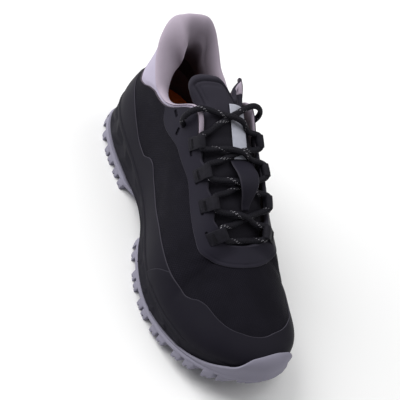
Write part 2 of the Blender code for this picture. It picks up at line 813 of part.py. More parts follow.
def extrude_lug(body, faces):
    grown = bmesh.ops.extrude_face_region(body, geom=faces)["geom"]
    verts = [item for item in grown if isinstance(item, bmesh.types.BMVert)]
    bmesh.ops.delete(body, geom=[face for face in faces if face.is_valid], context="FACES")
    centre = sum((v.co.copy() for v in verts), verts[0].co * 0.0) / len(verts)
    for vert in verts:
        vert.co.x = centre.x + (vert.co.x - centre.x) * LUG_DRAFT
        vert.co.y = centre.y + (vert.co.y - centre.y) * LUG_DRAFT
        vert.co.z = float(ground_z(vert.co.x))


# Tongue: an arch under the throat, free above the top eyelets

Tongue = namedtuple("Tongue", "x lateral_y medial_y crown_z drop thick")
TONGUE = [
    Tongue(60.0, -24.0, 31.0, 132.0, 7.0, 6.0),
    Tongue(85.0, -19.0, 28.0, 123.0, 8.5, 6.0),
    Tongue(97.0, -16.0, 26.0, 118.5, 9.0, 5.5),
    Tongue(108.0, -18.5, 28.5, 114.5, 10.5, 5.2),
    Tongue(122.0, -20.5, 30.5, 109.0, 12.0, 5.0),
    Tongue(149.0, -21.6, 32.0, 98.0, 12.2, 4.5),
    Tongue(174.0, -21.0, 30.0, 87.0, 9.5, 4.0),
    Tongue(190.0, -18.0, 26.0, 77.5, 7.0, 3.5),
    Tongue(200.0, -13.0, 21.0, 70.4, 3.0, 3.0),
    Tongue(207.0, -8.0, 16.0, 67.0, 1.0, 2.5),
]
tongue_columns = natural_cubic([row.x for row in TONGUE], [row[1:] for row in TONGUE])
# Upper edge of the tongue: where it ends across its width, from lateral (0) to medial (1)
TongueTop = namedtuple("TongueTop", "across x")
TONGUE_TOP = [
    TongueTop(0.00, 92.0),
    TongueTop(0.10, 82.0),
    TongueTop(0.30, 78.0),
    TongueTop(0.48, 80.0),
    TongueTop(0.62, 88.0),
    TongueTop(0.74, 90.5),
    TongueTop(0.86, 85.0),
    TongueTop(0.95, 79.0),
    TongueTop(1.00, 84.0),
]
tongue_end = table_line(TONGUE_TOP, "across", "x")


def tongue_point(x, across, offset=0.0):
    """Return a point over (or, below zero, inside) the tongue's outer face."""
    x, across = np.broadcast_arrays(np.asarray(x, float), np.asarray(across, float))
    lateral, medial, crown, drop = np.moveaxis(tongue_columns(x), -1, 0)[:4]
    side = 2.0 * across - 1.0
    y = lateral + (medial - lateral) * across
    z = crown - drop * np.abs(side) ** 3
    slope = 6.0 * drop * np.abs(side) * side / (medial - lateral)
    lift = 0.40
    norm = np.sqrt(1.0 + slope ** 2 + lift ** 2)
    return np.stack([x + offset * lift / norm, y + offset * slope / norm, z + offset / norm], axis=-1)


def tongue_across(x, y):
    lateral, medial = np.moveaxis(tongue_columns(x), -1, 0)[:2]
    return (y - lateral) / (medial - lateral)


def build_tongue(root, material):
    across = np.linspace(0.0, 1.0, 13)
    steps = np.linspace(0.0, 1.0, 12)
    start = TONGUE[-1].x
    rings = []
    for step in steps:
        x = start + (tongue_end(across) - start) * step
        thick = tongue_columns(x)[..., -1]
        outer = tongue_point(x, across)
        inner = tongue_point(x, across, -thick)
        rings.append(np.concatenate([outer, inner[::-1]]))
    return new_object("tongue", loft(rings), material, root)


Strip = namedtuple("Strip", "x y width lift")
RIBBON = [
    Strip(93.0, 15.0, 11.4, 0.0),
    Strip(110.0, 13.5, 11.4, 0.0),
    Strip(128.0, 12.0, 11.4, 0.0),
    Strip(139.0, 11.5, 11.4, 0.0),
]
KEEPER = [
    Strip(142.0, 11.5, 22.0, 0.0),
    Strip(149.0, 11.0, 20.0, 4.5),
    Strip(156.0, 10.5, 17.0, 8.4),
    Strip(165.0, 10.0, 13.0, 8.4),
    Strip(171.0, 9.5, 10.0, 4.5),
    Strip(177.0, 9.0, 7.0, 0.0),
]
STRIP_THICK = 0.9


def build_strip(name, rows, root, material):
    """Lay a strip along the tongue, lifted clear of it where its rows say so."""
    rings = []
    for row in rows:
        y = row.y + row.width * np.linspace(-0.5, 0.5, 5)
        across = tongue_across(np.full(5, row.x), y)
        low = tongue_point(np.full(5, row.x), across, GAP + row.lift)
        high = tongue_point(np.full(5, row.x), across, GAP + row.lift + STRIP_THICK)
        rings.append(np.concatenate([high, low[::-1]]))
    return new_object(name, loft(rings), material, root)


# Lace loops: webbing folded over the eyestay's edge

LOOP_ALONG = (0.655, 0.572, 0.492, 0.420)
LOOP_WIDTH = 8.0
LOOP_REACH_OUT = 7.0
LOOP_REACH_IN = 4.5
LOOP_HEIGHT = 6.6
LOOP_WALL = 1.1
LOOP_BASE = GAP + OVERLAY + GAP


def loop_frame(at):
    """Return a loop's seat on the eyestay edge and its in, along and up directions."""
    seat = wall_points(np.array([at]), np.array([1.0]))[0]
    up = wall_normals(np.array([at]), np.array([0.97]))[0]
    run = topline(np.array([at + 0.004]))[0] - topline(np.array([at - 0.004]))[0]
    run -= up * run.dot(up)
    run /= np.linalg.norm(run)
    inward = np.cross(up, run)
    middle = np.array([seat[0], SPINE_Y, seat[2]]) - seat
    return seat, inward if inward.dot(middle) > 0.0 else -inward, run, up


def stadium(low_x, high_x, low_z, high_z):
    """Return a flat ring of points with round ends, anticlockwise."""
    radius = 0.5 * (high_z - low_z)
    middle = 0.5 * (high_z + low_z)
    ends = [math.pi * (step / 4.0 - 0.5) for step in range(5)]
    right = [(high_x - radius + radius * math.cos(a), middle + radius * math.sin(a)) for a in ends]
    left = [(low_x + radius - radius * math.cos(a), middle - radius * math.sin(a)) for a in ends]
    return right + left


def build_loop(name, at, root, material):
    seat, inward, run, up = loop_frame(at)
    top = LOOP_BASE + LOOP_HEIGHT
    wall = LOOP_WALL
    outer = stadium(-LOOP_REACH_OUT, LOOP_REACH_IN, LOOP_BASE, top)
    hole = stadium(-LOOP_REACH_OUT + wall, LOOP_REACH_IN - wall, LOOP_BASE + wall, top - wall)
    body = bmesh.new()
    rings = []
    for side in (-0.5, 0.5):
        for shape in (outer, hole):
            points = [seat + inward * a + up * b + run * side * LOOP_WIDTH for a, b in shape]
            rings.append([body.verts.new(tuple(p)) for p in points])
    for here, there in ((0, 2), (2, 3), (3, 1), (1, 0)):
        for j in range(len(outer)):
            k = (j + 1) % len(outer)
            body.faces.new((rings[here][j], rings[here][k], rings[there][k], rings[there][j]))
    bmesh.ops.recalc_face_normals(body, faces=body.faces)
    return new_object(name, body, material, root, 50.0)


def loop_eye(at):
    """Return the middle of a loop's opening and its directions."""
    seat, inward, run, up = loop_frame(at)
    middle = 0.5 * (LOOP_REACH_IN - LOOP_REACH_OUT) + 1.6
    return seat + inward * middle + up * (LOOP_BASE + 0.5 * LOOP_HEIGHT), inward, run, up


# Laces: bottom bar, crossings from loop to loop, and ends tucked over the top eyelets

TONGUE_CLEAR = 2.4
BAR_X = 199.8
BAR_Y = (-6.0, 5.0, 16.0)
BAR_LIFT = 1.6
LOOP_CLEAR = 0.5 * LOOP_WIDTH + 2.4
OVER_LIFT = 2.6
TOP_ENTRY_LATERAL = np.array([110.0, -14.0, 0.0])
TOP_ENTRY_MEDIAL = np.array([105.0, 25.0, 0.0])
TOP_EYELET_ALONG = 0.362
EndPoint = namedtuple("EndPoint", "share offset over")
END_ROUTE = [
    EndPoint(0.82, 3.6, 0.0),
    EndPoint(0.90, 3.8, 0.0),
    EndPoint(0.98, 3.8, 0.0),
    EndPoint(1.00, 2.6, 3.0),
    EndPoint(1.00, -0.9, 4.2),
    EndPoint(1.00, -4.0, 3.4),
]


def smooth_path(points, count):
    points = np.asarray(points, float)
    lengths = np.linalg.norm(np.diff(points, axis=0), axis=1)
    knots = np.concatenate([[0.0], np.cumsum(lengths)])
    return natural_cubic(knots, points)(np.linspace(0.0, knots[-1], count))


def tube(path, diameter):
    """Make a closed round cord along a path."""
    tangents = np.gradient(path, axis=0)
    tangents /= np.linalg.norm(tangents, axis=1)[:, None]
    up = np.array([0.0, 0.0, 1.0])
    rings = []
    for point, tangent in zip(path, tangents):
        side = np.cross(tangent, up)
        side /= np.linalg.norm(side)
        over = np.cross(side, tangent)
        angles = [2.0 * math.pi * k / CORD_SIDES for k in range(CORD_SIDES)]
        rings.append([point + 0.5 * diameter * (math.cos(a) * side + math.sin(a) * over) for a in angles])
    return loft(rings)


def over_tongue(point, lift):
    """Return the point moved to a height over the tongue's outer face."""
    across = tongue_across(point[0], point[1])
    base = tongue_point(point[0], across)[2]
    return np.array([point[0], point[1], base + 0.5 * CORD + TONGUE_CLEAR + lift])


def loop_exit(at, sign):
    """Return where a lace leaves a loop: sign +1 towards the toe, -1 towards the heel."""
    eye, inward, run, up = loop_eye(at)
    toe_ward = run if run[0] > 0.0 else -run
    return eye + toe_ward * sign * LOOP_CLEAR + 2.8 * inward + 0.8 * up


def strand(start, end, lift):
    """Return a lace path over the tongue, lifted at the crossing."""
    path = [start]
    for share in np.linspace(0.0, 1.0, 7)[1:-1]:
        point = start + (end - start) * share
        over = over_tongue(point, lift * math.sin(math.pi * share))
        over[2] = max(over[2], point[2] - 1.5)
        path.append(over)
    path.append(end)
    return smooth_path(path, 10)


def build_crossing(name, under_ends, over_ends, root, material):
    """Join two strands where they cross."""
    crossing = new_object(name, tube(strand(*under_ends, 0.0), CORD), material, root, 60.0)
    second = new_object(name + "_strand", tube(strand(*over_ends, OVER_LIFT), CORD), material, root, 60.0)
    second.hide_render = True
    second.display_type = "WIRE"
    join = crossing.modifiers.new("Crossing", "BOOLEAN")
    join.operation = "UNION"
    join.object = second
    return crossing


def build_laces(root, material):
    for i, (low, high) in enumerate(zip(LOOP_ALONG, LOOP_ALONG[1:]), start=1):
        under = (loop_exit(low, -1.0), loop_exit(2.0 - high, 1.0))
        over = (loop_exit(2.0 - low, -1.0), loop_exit(high, 1.0))
        build_crossing("lace_crossing_%d" % i, under, over, root, material)
    lateral_top = over_tongue(TOP_ENTRY_LATERAL, 0.0)
    medial_top = over_tongue(TOP_ENTRY_MEDIAL, 0.0)
    under = (loop_exit(LOOP_ALONG[-1], -1.0), medial_top)
    over = (loop_exit(2.0 - LOOP_ALONG[-1], -1.0), lateral_top)
    build_crossing("lace_crossing_4", under, over, root, material)
    middle = [over_tongue(np.array([BAR_X, y, 0.0]), BAR_LIFT) for y in BAR_Y]
    bar = [loop_exit(LOOP_ALONG[0], 1.0)] + middle + [loop_exit(2.0 - LOOP_ALONG[0], 1.0)]
    new_object("lace_bar", tube(smooth_path(bar, 11), CORD), material, root, 60.0)
    for side, at in (("lateral", TOP_EYELET_ALONG), ("medial", 2.0 - TOP_EYELET_ALONG)):
        build_lace_end("lace_end_" + side, at, root, material)


def build_lace_end(name, at, root, material):
    """Hook a lace end from the top eyelet over the edge of its flap."""
    station = np.full(len(END_ROUTE), at)
    share = np.array([row.share for row in END_ROUTE])
    offset = np.array([row.offset for row in END_ROUTE])
    points = wall_offset(station, share, offset)
    top = wall_points(np.array([at, at]), np.array([0.97, 1.0]))
    rise = (top[1] - top[0]) / np.linalg.norm(top[1] - top[0])
    points += rise * np.array([row.over for row in END_ROUTE])[:, None]
    return new_object(name, tube(smooth_path(points, 9), CORD), material, root, 60.0)


def main():
    for item in list(bpy.data.objects):
        bpy.data.objects.remove(item)
    root = bpy.data.objects.new("shoe_root", None)
    bpy.context.scene.collection.objects.link(root)
    root.scale = (MM, MM, MM)
    across = outline(np.linspace(0.0, 2.0, 801))[:, 1]
    middle = 0.5 * (across.min() + across.max())
    root.location = (-0.5 * OUTLINE[-1].x * MM, -middle * MM, 0.0)
    fabric = principled("quarter_fabric", (0.03, 0.028, 0.034), 0.7)
    film = principled("overlay_film", (0.035, 0.033, 0.04), 0.45)
    lining = principled("collar_lining", (0.5, 0.46, 0.52), 0.8)
    foam = principled("midsole_foam", (0.02, 0.02, 0.024), 0.6)
    rubber = principled("outsole_rubber", (0.3, 0.29, 0.33), 0.6)
    pad = principled("tongue_fabric", (0.025, 0.024, 0.03), 0.7)
    ribbon = principled("ribbon_webbing", (0.4, 0.4, 0.44), 0.6)
    webbing = principled("loop_webbing", (0.015, 0.015, 0.018), 0.6)
    lace = principled("lace_cord", (0.015, 0.015, 0.018), 0.7)
    bed = principled("insole_foam", (0.2, 0.06, 0.02), 0.8)

    build_outsole(root, rubber)
    build_midsole(root, foam)
    build_insole(root, bed)
    build_upper(root, fabric)
    build_toe_cap(root, film)
    build_side_overlay(root, film)
    build_eyestay(root, film)
    build_cuff(root, lining)
    build_tongue(root, pad)
    build_strip("tongue_ribbon", RIBBON, root, ribbon)
    build_strip("tongue_keeper", KEEPER, root, pad)
    for i, along in enumerate(LOOP_ALONG, start=1):
        build_loop("lace_loop_lateral_%d" % i, along, root, webbing)
        build_loop("lace_loop_medial_%d" % i, 2.0 - along, root, webbing)
    build_laces(root, lace)


main()
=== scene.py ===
"""Right hiking shoe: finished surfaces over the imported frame.

All shapes are worked out in the last's own frame, in millimetres: x from the
heel (0) to the toe, y positive on the medial side, z up from the floor.
"""
import math
from collections import namedtuple

import bmesh
import bpy
import numpy as np
from mathutils import Matrix, Vector


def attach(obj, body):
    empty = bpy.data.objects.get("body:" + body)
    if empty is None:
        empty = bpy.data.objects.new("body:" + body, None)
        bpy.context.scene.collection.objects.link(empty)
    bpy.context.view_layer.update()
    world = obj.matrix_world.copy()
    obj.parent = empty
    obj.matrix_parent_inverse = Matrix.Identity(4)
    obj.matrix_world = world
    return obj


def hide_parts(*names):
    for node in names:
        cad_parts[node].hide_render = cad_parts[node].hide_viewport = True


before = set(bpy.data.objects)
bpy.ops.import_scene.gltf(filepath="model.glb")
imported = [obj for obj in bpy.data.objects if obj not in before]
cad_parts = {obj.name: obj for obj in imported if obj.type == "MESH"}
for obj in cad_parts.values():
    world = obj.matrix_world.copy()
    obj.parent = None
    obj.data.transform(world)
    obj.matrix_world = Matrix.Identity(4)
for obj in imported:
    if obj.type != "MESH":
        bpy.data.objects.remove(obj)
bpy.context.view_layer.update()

MM = 0.001
WELD = 0.0005 * MM

# The last
Outline = namedtuple("Outline", "x lateral_y medial_y")
OUTLINE = [
    Outline(0.0, 0.0, 0.0),
    Outline(9.0, -23.2, 23.0),
    Outline(25.0, -33.6, 34.2),
    Outline(50.0, -38.7, 38.3),
    Outline(88.0, -38.0, 37.2),
    Outline(122.0, -38.6, 36.2),
    Outline(152.0, -45.2, 40.0),
    Outline(185.0, -54.7, 48.9),
    Outline(218.0, -56.5, 53.2),
    Outline(250.0, -49.6, 50.4),
    Outline(275.0, -36.0, 42.2),
    Outline(290.0, -19.0, 27.2),
    Outline(297.0, 4.0, 4.0),
]
# The feather line, where upper and midsole meet
FEATHER_X = (-5.0, 40.0, 80.0, 125.0, 170.0, 215.0, 260.0, 300.0)
FEATHER_Z = (36.0, 36.0, 32.7, 24.8, 22.4, 23.4, 22.6, 21.2)
# Wall sections by share of a side: the topline's point, then the handles of
# the wall's curve at its foot and at its top. From the vamp on, the topline
# is the spine and has no point of its own here
Section = namedtuple("Section", "name along top_x top_y top_z foot_out foot_up top_out top_up")
LATERAL = [
    Section("heel", 0.000, 10.0, 1.0, 130.0, 2.0, 28.0, -16.0, -32.0),
    Section("heel_corner", 0.073, 14.0, -14.0, 127.0, 2.0, 27.0, -12.0, -32.0),
    Section("heel_side", 0.134, 25.0, -24.0, 112.0, 1.0, 26.0, -5.0, -28.0),
    Section("collar_back", 0.187, 42.0, -28.0, 99.5, 0.0, 24.0, 0.0, -24.0),
    Section("collar_dip", 0.247, 64.0, -29.0, 91.5, 0.0, 22.0, 3.0, -22.0),
    Section("collar_front", 0.299, 83.0, -25.5, 100.0, 0.0, 24.0, 6.0, -24.0),
    Section("eyelet_top", 0.339, 97.0, -20.5, 115.0, 0.0, 28.0, 9.0, -26.0),
    Section("eyestay_high", 0.408, 122.0, -19.8, 106.5, 0.5, 28.0, 11.0, -20.0),
    Section("eyestay_mid", 0.489, 149.0, -19.5, 95.8, 1.0, 26.0, 14.0, -15.0),
    Section("eyestay_low", 0.574, 174.0, -18.2, 86.5, 1.5, 24.0, 18.0, -12.0),
    Section("throat_side", 0.646, 193.5, -16.0, 77.8, 2.0, 22.0, 21.0, -7.0),
    Section("throat_corner", 0.685, 202.3, -10.0, 73.2, 2.0, 20.0, 24.0, -3.0),
    Section("throat_bottom", 0.720, 204.0, 4.0, 71.8, 2.0, 19.0, 28.0, 0.0),
    Section("vamp", 0.775, 0.0, 0.0, 0.0, 2.0, 17.0, 27.0, 0.0),
    Section("vamp_front", 0.830, 0.0, 0.0, 0.0, 2.0, 15.0, 24.0, 0.0),
    Section("toe_side", 0.885, 0.0, 0.0, 0.0, 2.5, 13.0, 22.0, 0.0),
    Section("toe_corner", 0.945, 0.0, 0.0, 0.0, 3.0, 13.0, 21.0, 0.0),
    Section("toe", 1.000, 0.0, 0.0, 0.0, 3.0, 13.0, 21.0, 0.0),
]
MEDIAL = [
    Section("heel_corner", 0.073, 14.0, 18.0, 127.0, 2.0, 27.0, -12.0, -32.0),
    Section("heel_side", 0.134, 25.0, 28.0, 113.0, 1.0, 26.0, -5.0, -28.0),
    Section("collar_back", 0.187, 42.0, 31.0, 99.5, 0.0, 24.0, 0.0, -24.0),
    Section("collar_dip", 0.247, 62.0, 31.5, 92.0, 0.0, 22.0, 2.0, -22.0),
    Section("collar_front", 0.299, 80.0, 31.0, 100.0, 0.0, 24.0, 4.0, -24.0),
    Section("eyelet_top", 0.339, 94.0, 31.0, 116.5, 0.0, 28.0, 6.0, -26.0),
    Section("eyestay_high", 0.408, 120.0, 32.5, 106.0, 0.0, 28.0, 7.0, -22.0),
    Section("eyestay_mid", 0.489, 147.0, 33.5, 94.7, 0.5, 26.0, 9.0, -18.0),
    Section("eyestay_low", 0.574, 173.0, 31.5, 85.0, 1.0, 24.0, 13.0, -14.0),
    Section("throat_side", 0.646, 193.0, 27.0, 77.0, 1.0, 21.0, 17.0, -9.0),
    Section("throat_corner", 0.685, 202.3, 20.5, 73.2, 1.0, 19.0, 21.0, -4.0),
    Section("throat_bottom", 0.720, 204.0, 4.0, 71.8, 2.5, 18.0, 28.0, 0.0),
    Section("vamp", 0.775, 0.0, 0.0, 0.0, 2.5, 16.0, 28.0, 0.0),
    Section("vamp_front", 0.830, 0.0, 0.0, 0.0, 2.5, 15.0, 26.0, 0.0),
    Section("toe_side", 0.885, 0.0, 0.0, 0.0, 2.5, 13.5, 24.0, 0.0),
    Section("toe_corner", 0.945, 0.0, 0.0, 0.0, 2.5, 13.0, 21.0, 0.0),
]
WALL = 1.8
FEATHER_INSET = 2.0
TOE_FEATHER_INSET = 5.0
TOE_BLEND = (0.80, 0.92)
SPRING_START_X = 205.0
SPRING_RUN = 92.0
SPRING_RISE = 22.0
FEATHER_SPRING = 0.8
SPINE_Y = 4.0
THROAT_X = 204.0
THROAT_Z = 71.8
PIVOT_X = 250.0
SPINE_SLOPE = -0.36
SPINE_CURVE = 0.0008
THROAT_ALONG = 0.72
PIVOT_ALONG = 0.885
EYELET_ALONG = 0.339
SIDE_MM = 345.0
LUG_HEIGHT = 5.5
SHEET = 3.5
HEEL_BEVEL_X = 14.0
HEEL_BEVEL_RISE = 4.0
ARCH_LIFT = 3.0
WAIST_INSET = 9.0
BUMPER_WALL = 2.0
BUMPER_CLEAR = 2.0
RECESS_INSET = 8.0
RECESS_DEPTH = 5.0
RECESS_HEEL = 4.0

# Panel lines by perimeter station (0 heel, 1 toe, 2 heel again): film is the
# overlay's height over the feather line, in millimetres
FILM = {
    0.000: 30.0, 0.100: 29.0, 0.180: 25.0, 0.238: 19.7, 0.292: 15.3, 0.318: 15.8, 0.348: 24.1, 0.362: 25.2,
    0.400: 22.2, 0.460: 20.6, 0.545: 24.2, 0.608: 25.0, 0.662: 24.4, 0.705: 24.3, 0.730: 23.8, 0.745: 25.9,
    0.758: 29.8, 0.775: 31.4, 0.808: 30.2, 0.842: 29.0, 0.883: 27.8, 0.938: 26.9, 0.990: 27.2, 1.052: 27.2,
    1.118: 25.5, 1.158: 23.6, 1.195: 20.6, 1.270: 20.4, 1.340: 22.0, 1.455: 23.0, 1.540: 21.0, 1.600: 22.2,
    1.638: 25.2, 1.652: 24.1, 1.682: 15.8, 1.708: 15.3, 1.762: 19.7, 1.820: 25.0, 1.900: 29.0, 2.000: 30.0}
# Rear edge of the toe cap: station by height over the feather line
CAP_SEAM = {0.0: 0.606, 6.0: 0.615, 15.0: 0.634, 22.0: 0.657, 30.0: 0.690}
# Eyestay depth under the topline, by share of a side
STAY = {
    0.276: 3.2, 0.287: 8.0, 0.300: 17.0, 0.318: 27.0, 0.335: 33.6, 0.348: 35.4, 0.362: 34.0, 0.398: 25.7,
    0.440: 19.6, 0.485: 16.7, 0.562: 18.7, 0.640: 19.5, 0.680: 21.8, 0.700: 23.0, 0.725: 21.6, 0.738: 17.5,
    0.746: 9.0, 0.751: 0.4}
# Depth of the cuff's lower edge under the topline, by share of a side
CUFF_DEPTH = {
    0.000: 51.0, 0.092: 48.0, 0.134: 41.0, 0.175: 27.0, 0.205: 14.0, 0.232: 6.4, 0.260: 4.6, 0.300: 4.4,
    0.339: 4.2, 0.420: 3.4}
# Height of the outsole's cup over its floor, by station
BUMPER = {
    0.000: 1.0, 0.290: 1.0, 0.345: 0.15, 0.475: 0.15, 0.547: 1.0, 0.800: 1.2, 0.860: 3.5, 0.900: 7.0,
    0.925: 10.0, 0.965: 18.0, 1.025: 20.5, 1.075: 18.0, 1.100: 12.0, 1.130: 6.0, 1.180: 2.4, 1.240: 1.0,
    1.453: 1.0, 1.525: 0.15, 1.655: 0.15, 1.710: 1.0, 2.000: 1.0}


def natural_cubic(knots, values):
    """Return a smooth curve through values at knots, straight at both ends."""
    knots = np.asarray(knots, float)
    values = np.asarray(values, float)
    step = np.diff(knots)
    count = len(knots)
    matrix = np.eye(count)
    right = np.zeros_like(values)
    for i in range(1, count - 1):
        matrix[i, i - 1:i + 2] = step[i - 1], 2.0 * (step[i - 1] + step[i]), step[i]
        right[i] = 6.0 * ((values[i + 1] - values[i]) / step[i] - (values[i] - values[i - 1]) / step[i - 1])
    bend = np.linalg.solve(matrix, right)

    def curve(at):
        at = np.asarray(at, float)
        cell = np.clip(np.searchsorted(knots, at) - 1, 0, count - 2)
        width = step[cell]
        a = (knots[cell + 1] - at) / width
        b = (at - knots[cell]) / width
        if values.ndim > 1:
            a, b, width = a[..., None], b[..., None], width[..., None]
        bulge = (a ** 3 - a) * bend[cell] + (b ** 3 - b) * bend[cell + 1]
        return a * values[cell] + b * values[cell + 1] + bulge * width ** 2 / 6.0

    return curve


def loop_curve(knots, values, period):
    """Return a smooth closed curve."""
    knots = np.asarray(knots, float)
    values = np.asarray(values, float)
    wide = np.concatenate([knots - period, knots, knots + period])
    curve = natural_cubic(wide, np.concatenate([values, values, values]))
    return lambda at: curve(np.mod(at, period))


def eased(table):
    """Return a smooth line through a table that never overshoots its rows."""
    knots = np.array(list(table.keys()))
    values = np.array(list(table.values()))
    step = np.diff(knots)
    slope = np.diff(values) / step
    same = slope[1:] * slope[:-1] > 0.0
    safe = np.where(same, slope[1:] + slope[:-1], 1.0)
    inner = np.where(same, 2.0 * slope[1:] * slope[:-1] / safe, 0.0)
    tangent = np.concatenate([[slope[0]], inner, [slope[-1]]])

    def line(at):
        at = np.clip(np.asarray(at, float), knots[0], knots[-1])
        cell = np.clip(np.searchsorted(knots, at) - 1, 0, len(step) - 1)
        width = step[cell]
        s = (at - knots[cell]) / width
        first = values[cell] * (1 + 2 * s) * (1 - s) ** 2 + tangent[cell] * width * s * (1 - s) ** 2
        second = values[cell + 1] * s * s * (3 - 2 * s) + tangent[cell + 1] * width * s * s * (s - 1)
        return first + second

    return line


def smoothstep(low, high, at):
    share = np.clip((np.asarray(at, float) - low) / (high - low), 0.0, 1.0)
    return share * share * (3.0 - 2.0 * share)


def between(start, full, ebb, end, at):
    """Return a rise from 0 to 1 between start and full, and a fall back between ebb and end."""
    return smoothstep(start, full, at) * (1.0 - smoothstep(ebb, end, at))


def unit(vectors):
    return vectors / np.linalg.norm(vectors, axis=-1, keepdims=True)


def matched(*values):
    """Return values as arrays of one shape."""
    return np.broadcast_arrays(*(np.asarray(value, float) for value in values))


def run_length(path):
    """Return the length along a path up to each of its points."""
    return np.concatenate([[0.0], np.cumsum(np.linalg.norm(np.diff(path, axis=0), axis=1))])


def evened(path, count):
    """Return a path again with evenly spaced points."""
    run = run_length(path)
    even = np.linspace(0.0, run[-1], count)
    return np.stack([np.interp(even, run, column) for column in path.T], 1)


def smooth_path(points, count):
    """Return a smooth path through points, evenly spaced."""
    points = np.asarray(points, float)
    steps = np.linalg.norm(np.diff(points, axis=0), axis=1) ** 0.75
    knots = np.concatenate([[0.0], np.cumsum(steps)])
    return evened(natural_cubic(knots, points)(np.linspace(0.0, knots[-1], 30 * len(points))), count)


def bezier_path(points, t):
    """Return a Bezier curve between its end points, by repeated mixing of neighbours."""
    layer = [np.asarray(p)[None, :] for p in points]
    while len(layer) > 1:
        layer = [a * (1.0 - t) + b * t for a, b in zip(layer, layer[1:])]
    return layer[0]


def squared_circle(count, power):
    """Return the two coordinates of a closed oval; a low power squares it."""
    turn = np.linspace(0.0, 2.0 * math.pi, count + 1)[:-1]
    return [np.sign(side) * np.abs(side) ** power for side in (np.cos(turn), np.sin(turn))]


film_line = eased(FILM)
cap_seam = eased(CAP_SEAM)
stay_line = eased(STAY)
cuff_depth = eased(CUFF_DEPTH)
bumper_line = eased(BUMPER)


def build_outline():
    lateral = np.array([(row.x, row.lateral_y) for row in OUTLINE])
    medial = np.array([(row.x, row.medial_y) for row in OUTLINE])

    def shares(points):
        lengths = np.hypot(*np.diff(points, axis=0).T)
        return np.concatenate([[0.0], np.cumsum(lengths)]) / lengths.sum()

    knots = np.concatenate([shares(lateral), 2.0 - shares(medial)[-2:0:-1]])
    return loop_curve(knots, np.concatenate([lateral, medial[-2:0:-1]]), 2.0)


outline = build_outline()
across_y = outline(np.linspace(0.0, 2.0, 801))[:, 1]
ROOT = np.array([-0.5 * OUTLINE[-1].x, -0.5 * (across_y.min() + across_y.max()), 0.0])


def to_metres(points):
    return (np.asarray(points, float) + ROOT) * MM


def outline_out(at):
    """Return the outline's outward directions."""
    tangent = unit(outline(np.asarray(at) + 0.002) - outline(np.asarray(at) - 0.002))
    return np.stack([tangent[..., 1], -tangent[..., 0]], axis=-1)


def inset_outline(at, inset):
    return outline(at) - outline_out(at) * np.asarray(inset)[..., None]


def toe_spring(x):
    return SPRING_RISE * (np.maximum(np.asarray(x, float) - SPRING_START_X, 0.0) / SPRING_RUN) ** 2


feather_base = natural_cubic(FEATHER_X, FEATHER_Z)


def feather_z(x):
    return feather_base(x) + FEATHER_SPRING * toe_spring(x)


def along_of(at):
    at = np.mod(at, 2.0)
    return np.minimum(at, 2.0 - at)


def spine_x(along):
    share = np.clip((along - THROAT_ALONG) / (PIVOT_ALONG - THROAT_ALONG), 0.0, 1.0)
    return THROAT_X + (PIVOT_X - THROAT_X) * (1.0 - (1.0 - share) ** 2)


def build_columns():
    rows = LATERAL + MEDIAL[::-1]
    knots = [row.along for row in LATERAL] + [2.0 - row.along for row in MEDIAL[::-1]]
    handles = [(row.foot_out, row.foot_up, row.top_out, row.top_up) for row in rows]
    back = [row for row in LATERAL if row.along <= THROAT_ALONG]
    inner = [row for row in MEDIAL if row.along <= THROAT_ALONG]
    top_knots = [-row.along for row in inner[::-1]] + [row.along for row in back]
    tops = [(row.top_x, row.top_y, row.top_z) for row in inner[::-1] + back]
    return natural_cubic(top_knots, tops), loop_curve(knots, handles, 2.0)


quarter_top, handle_columns = build_columns()


def topline(at):
    """Return the wall's top edge: round the collar and throat, then along the spine."""
    along = along_of(at)
    signed = np.where(np.mod(at, 2.0) <= 1.0, along, -along)
    x = spine_x(along)
    ahead = x - THROAT_X
    z = THROAT_Z + SPINE_SLOPE * ahead + SPINE_CURVE * ahead ** 2
    spine = np.stack([x, np.full_like(x, SPINE_Y), z], -1)
    edge = quarter_top(np.clip(signed, -THROAT_ALONG, THROAT_ALONG))
    return np.where((along >= THROAT_ALONG)[..., None], spine, edge)


def toe_share(at):
    """Return 0 along the sides and 1 round the toe."""
    return smoothstep(*TOE_BLEND, along_of(at))


def feather_inset(at):
    return FEATHER_INSET + (TOE_FEATHER_INSET - FEATHER_INSET) * toe_share(at)


def wall_handles(at):
    """Return the wall's curve at stations as its foot, two handles and top."""
    foot_xy = inset_outline(at, feather_inset(at))
    foot = np.concatenate([foot_xy, feather_z(foot_xy[..., :1])], axis=-1)
    top = topline(at)
    out = outline_out(at)
    foot_out, foot_up, top_out, top_up = np.moveaxis(handle_columns(at), -1, 0)
    spine_rise = (SPINE_SLOPE + 2.0 * SPINE_CURVE * (top[..., 0] - THROAT_X)) * out[..., 0] * top_out
    blend = smoothstep(THROAT_ALONG - 0.06, THROAT_ALONG, along_of(at))
    top_up = top_up * (1.0 - blend) + spine_rise * blend
    first = foot + np.concatenate([out * foot_out[..., None], foot_up[..., None]], axis=-1)
    second = top + np.concatenate([out * top_out[..., None], top_up[..., None]], axis=-1)
    return foot, first, second, top


WALL_STEPS = 49


def wall_curve(at):
    """Return the wall's Bezier and its running length for flat stations."""
    controls = wall_handles(at)

    def bezier(t):
        weights = ((1 - t) ** 3, 3 * t * (1 - t) ** 2, 3 * t * t * (1 - t), t ** 3)
        return sum(w[..., None] * c for w, c in zip(weights, controls))

    samples = np.stack([bezier(np.full(at.shape, t)) for t in np.linspace(0.0, 1.0, WALL_STEPS)])
    lengths = np.linalg.norm(np.diff(samples, axis=0), axis=-1)
    return bezier, np.concatenate([np.zeros((1, len(at))), np.cumsum(lengths, axis=0)])


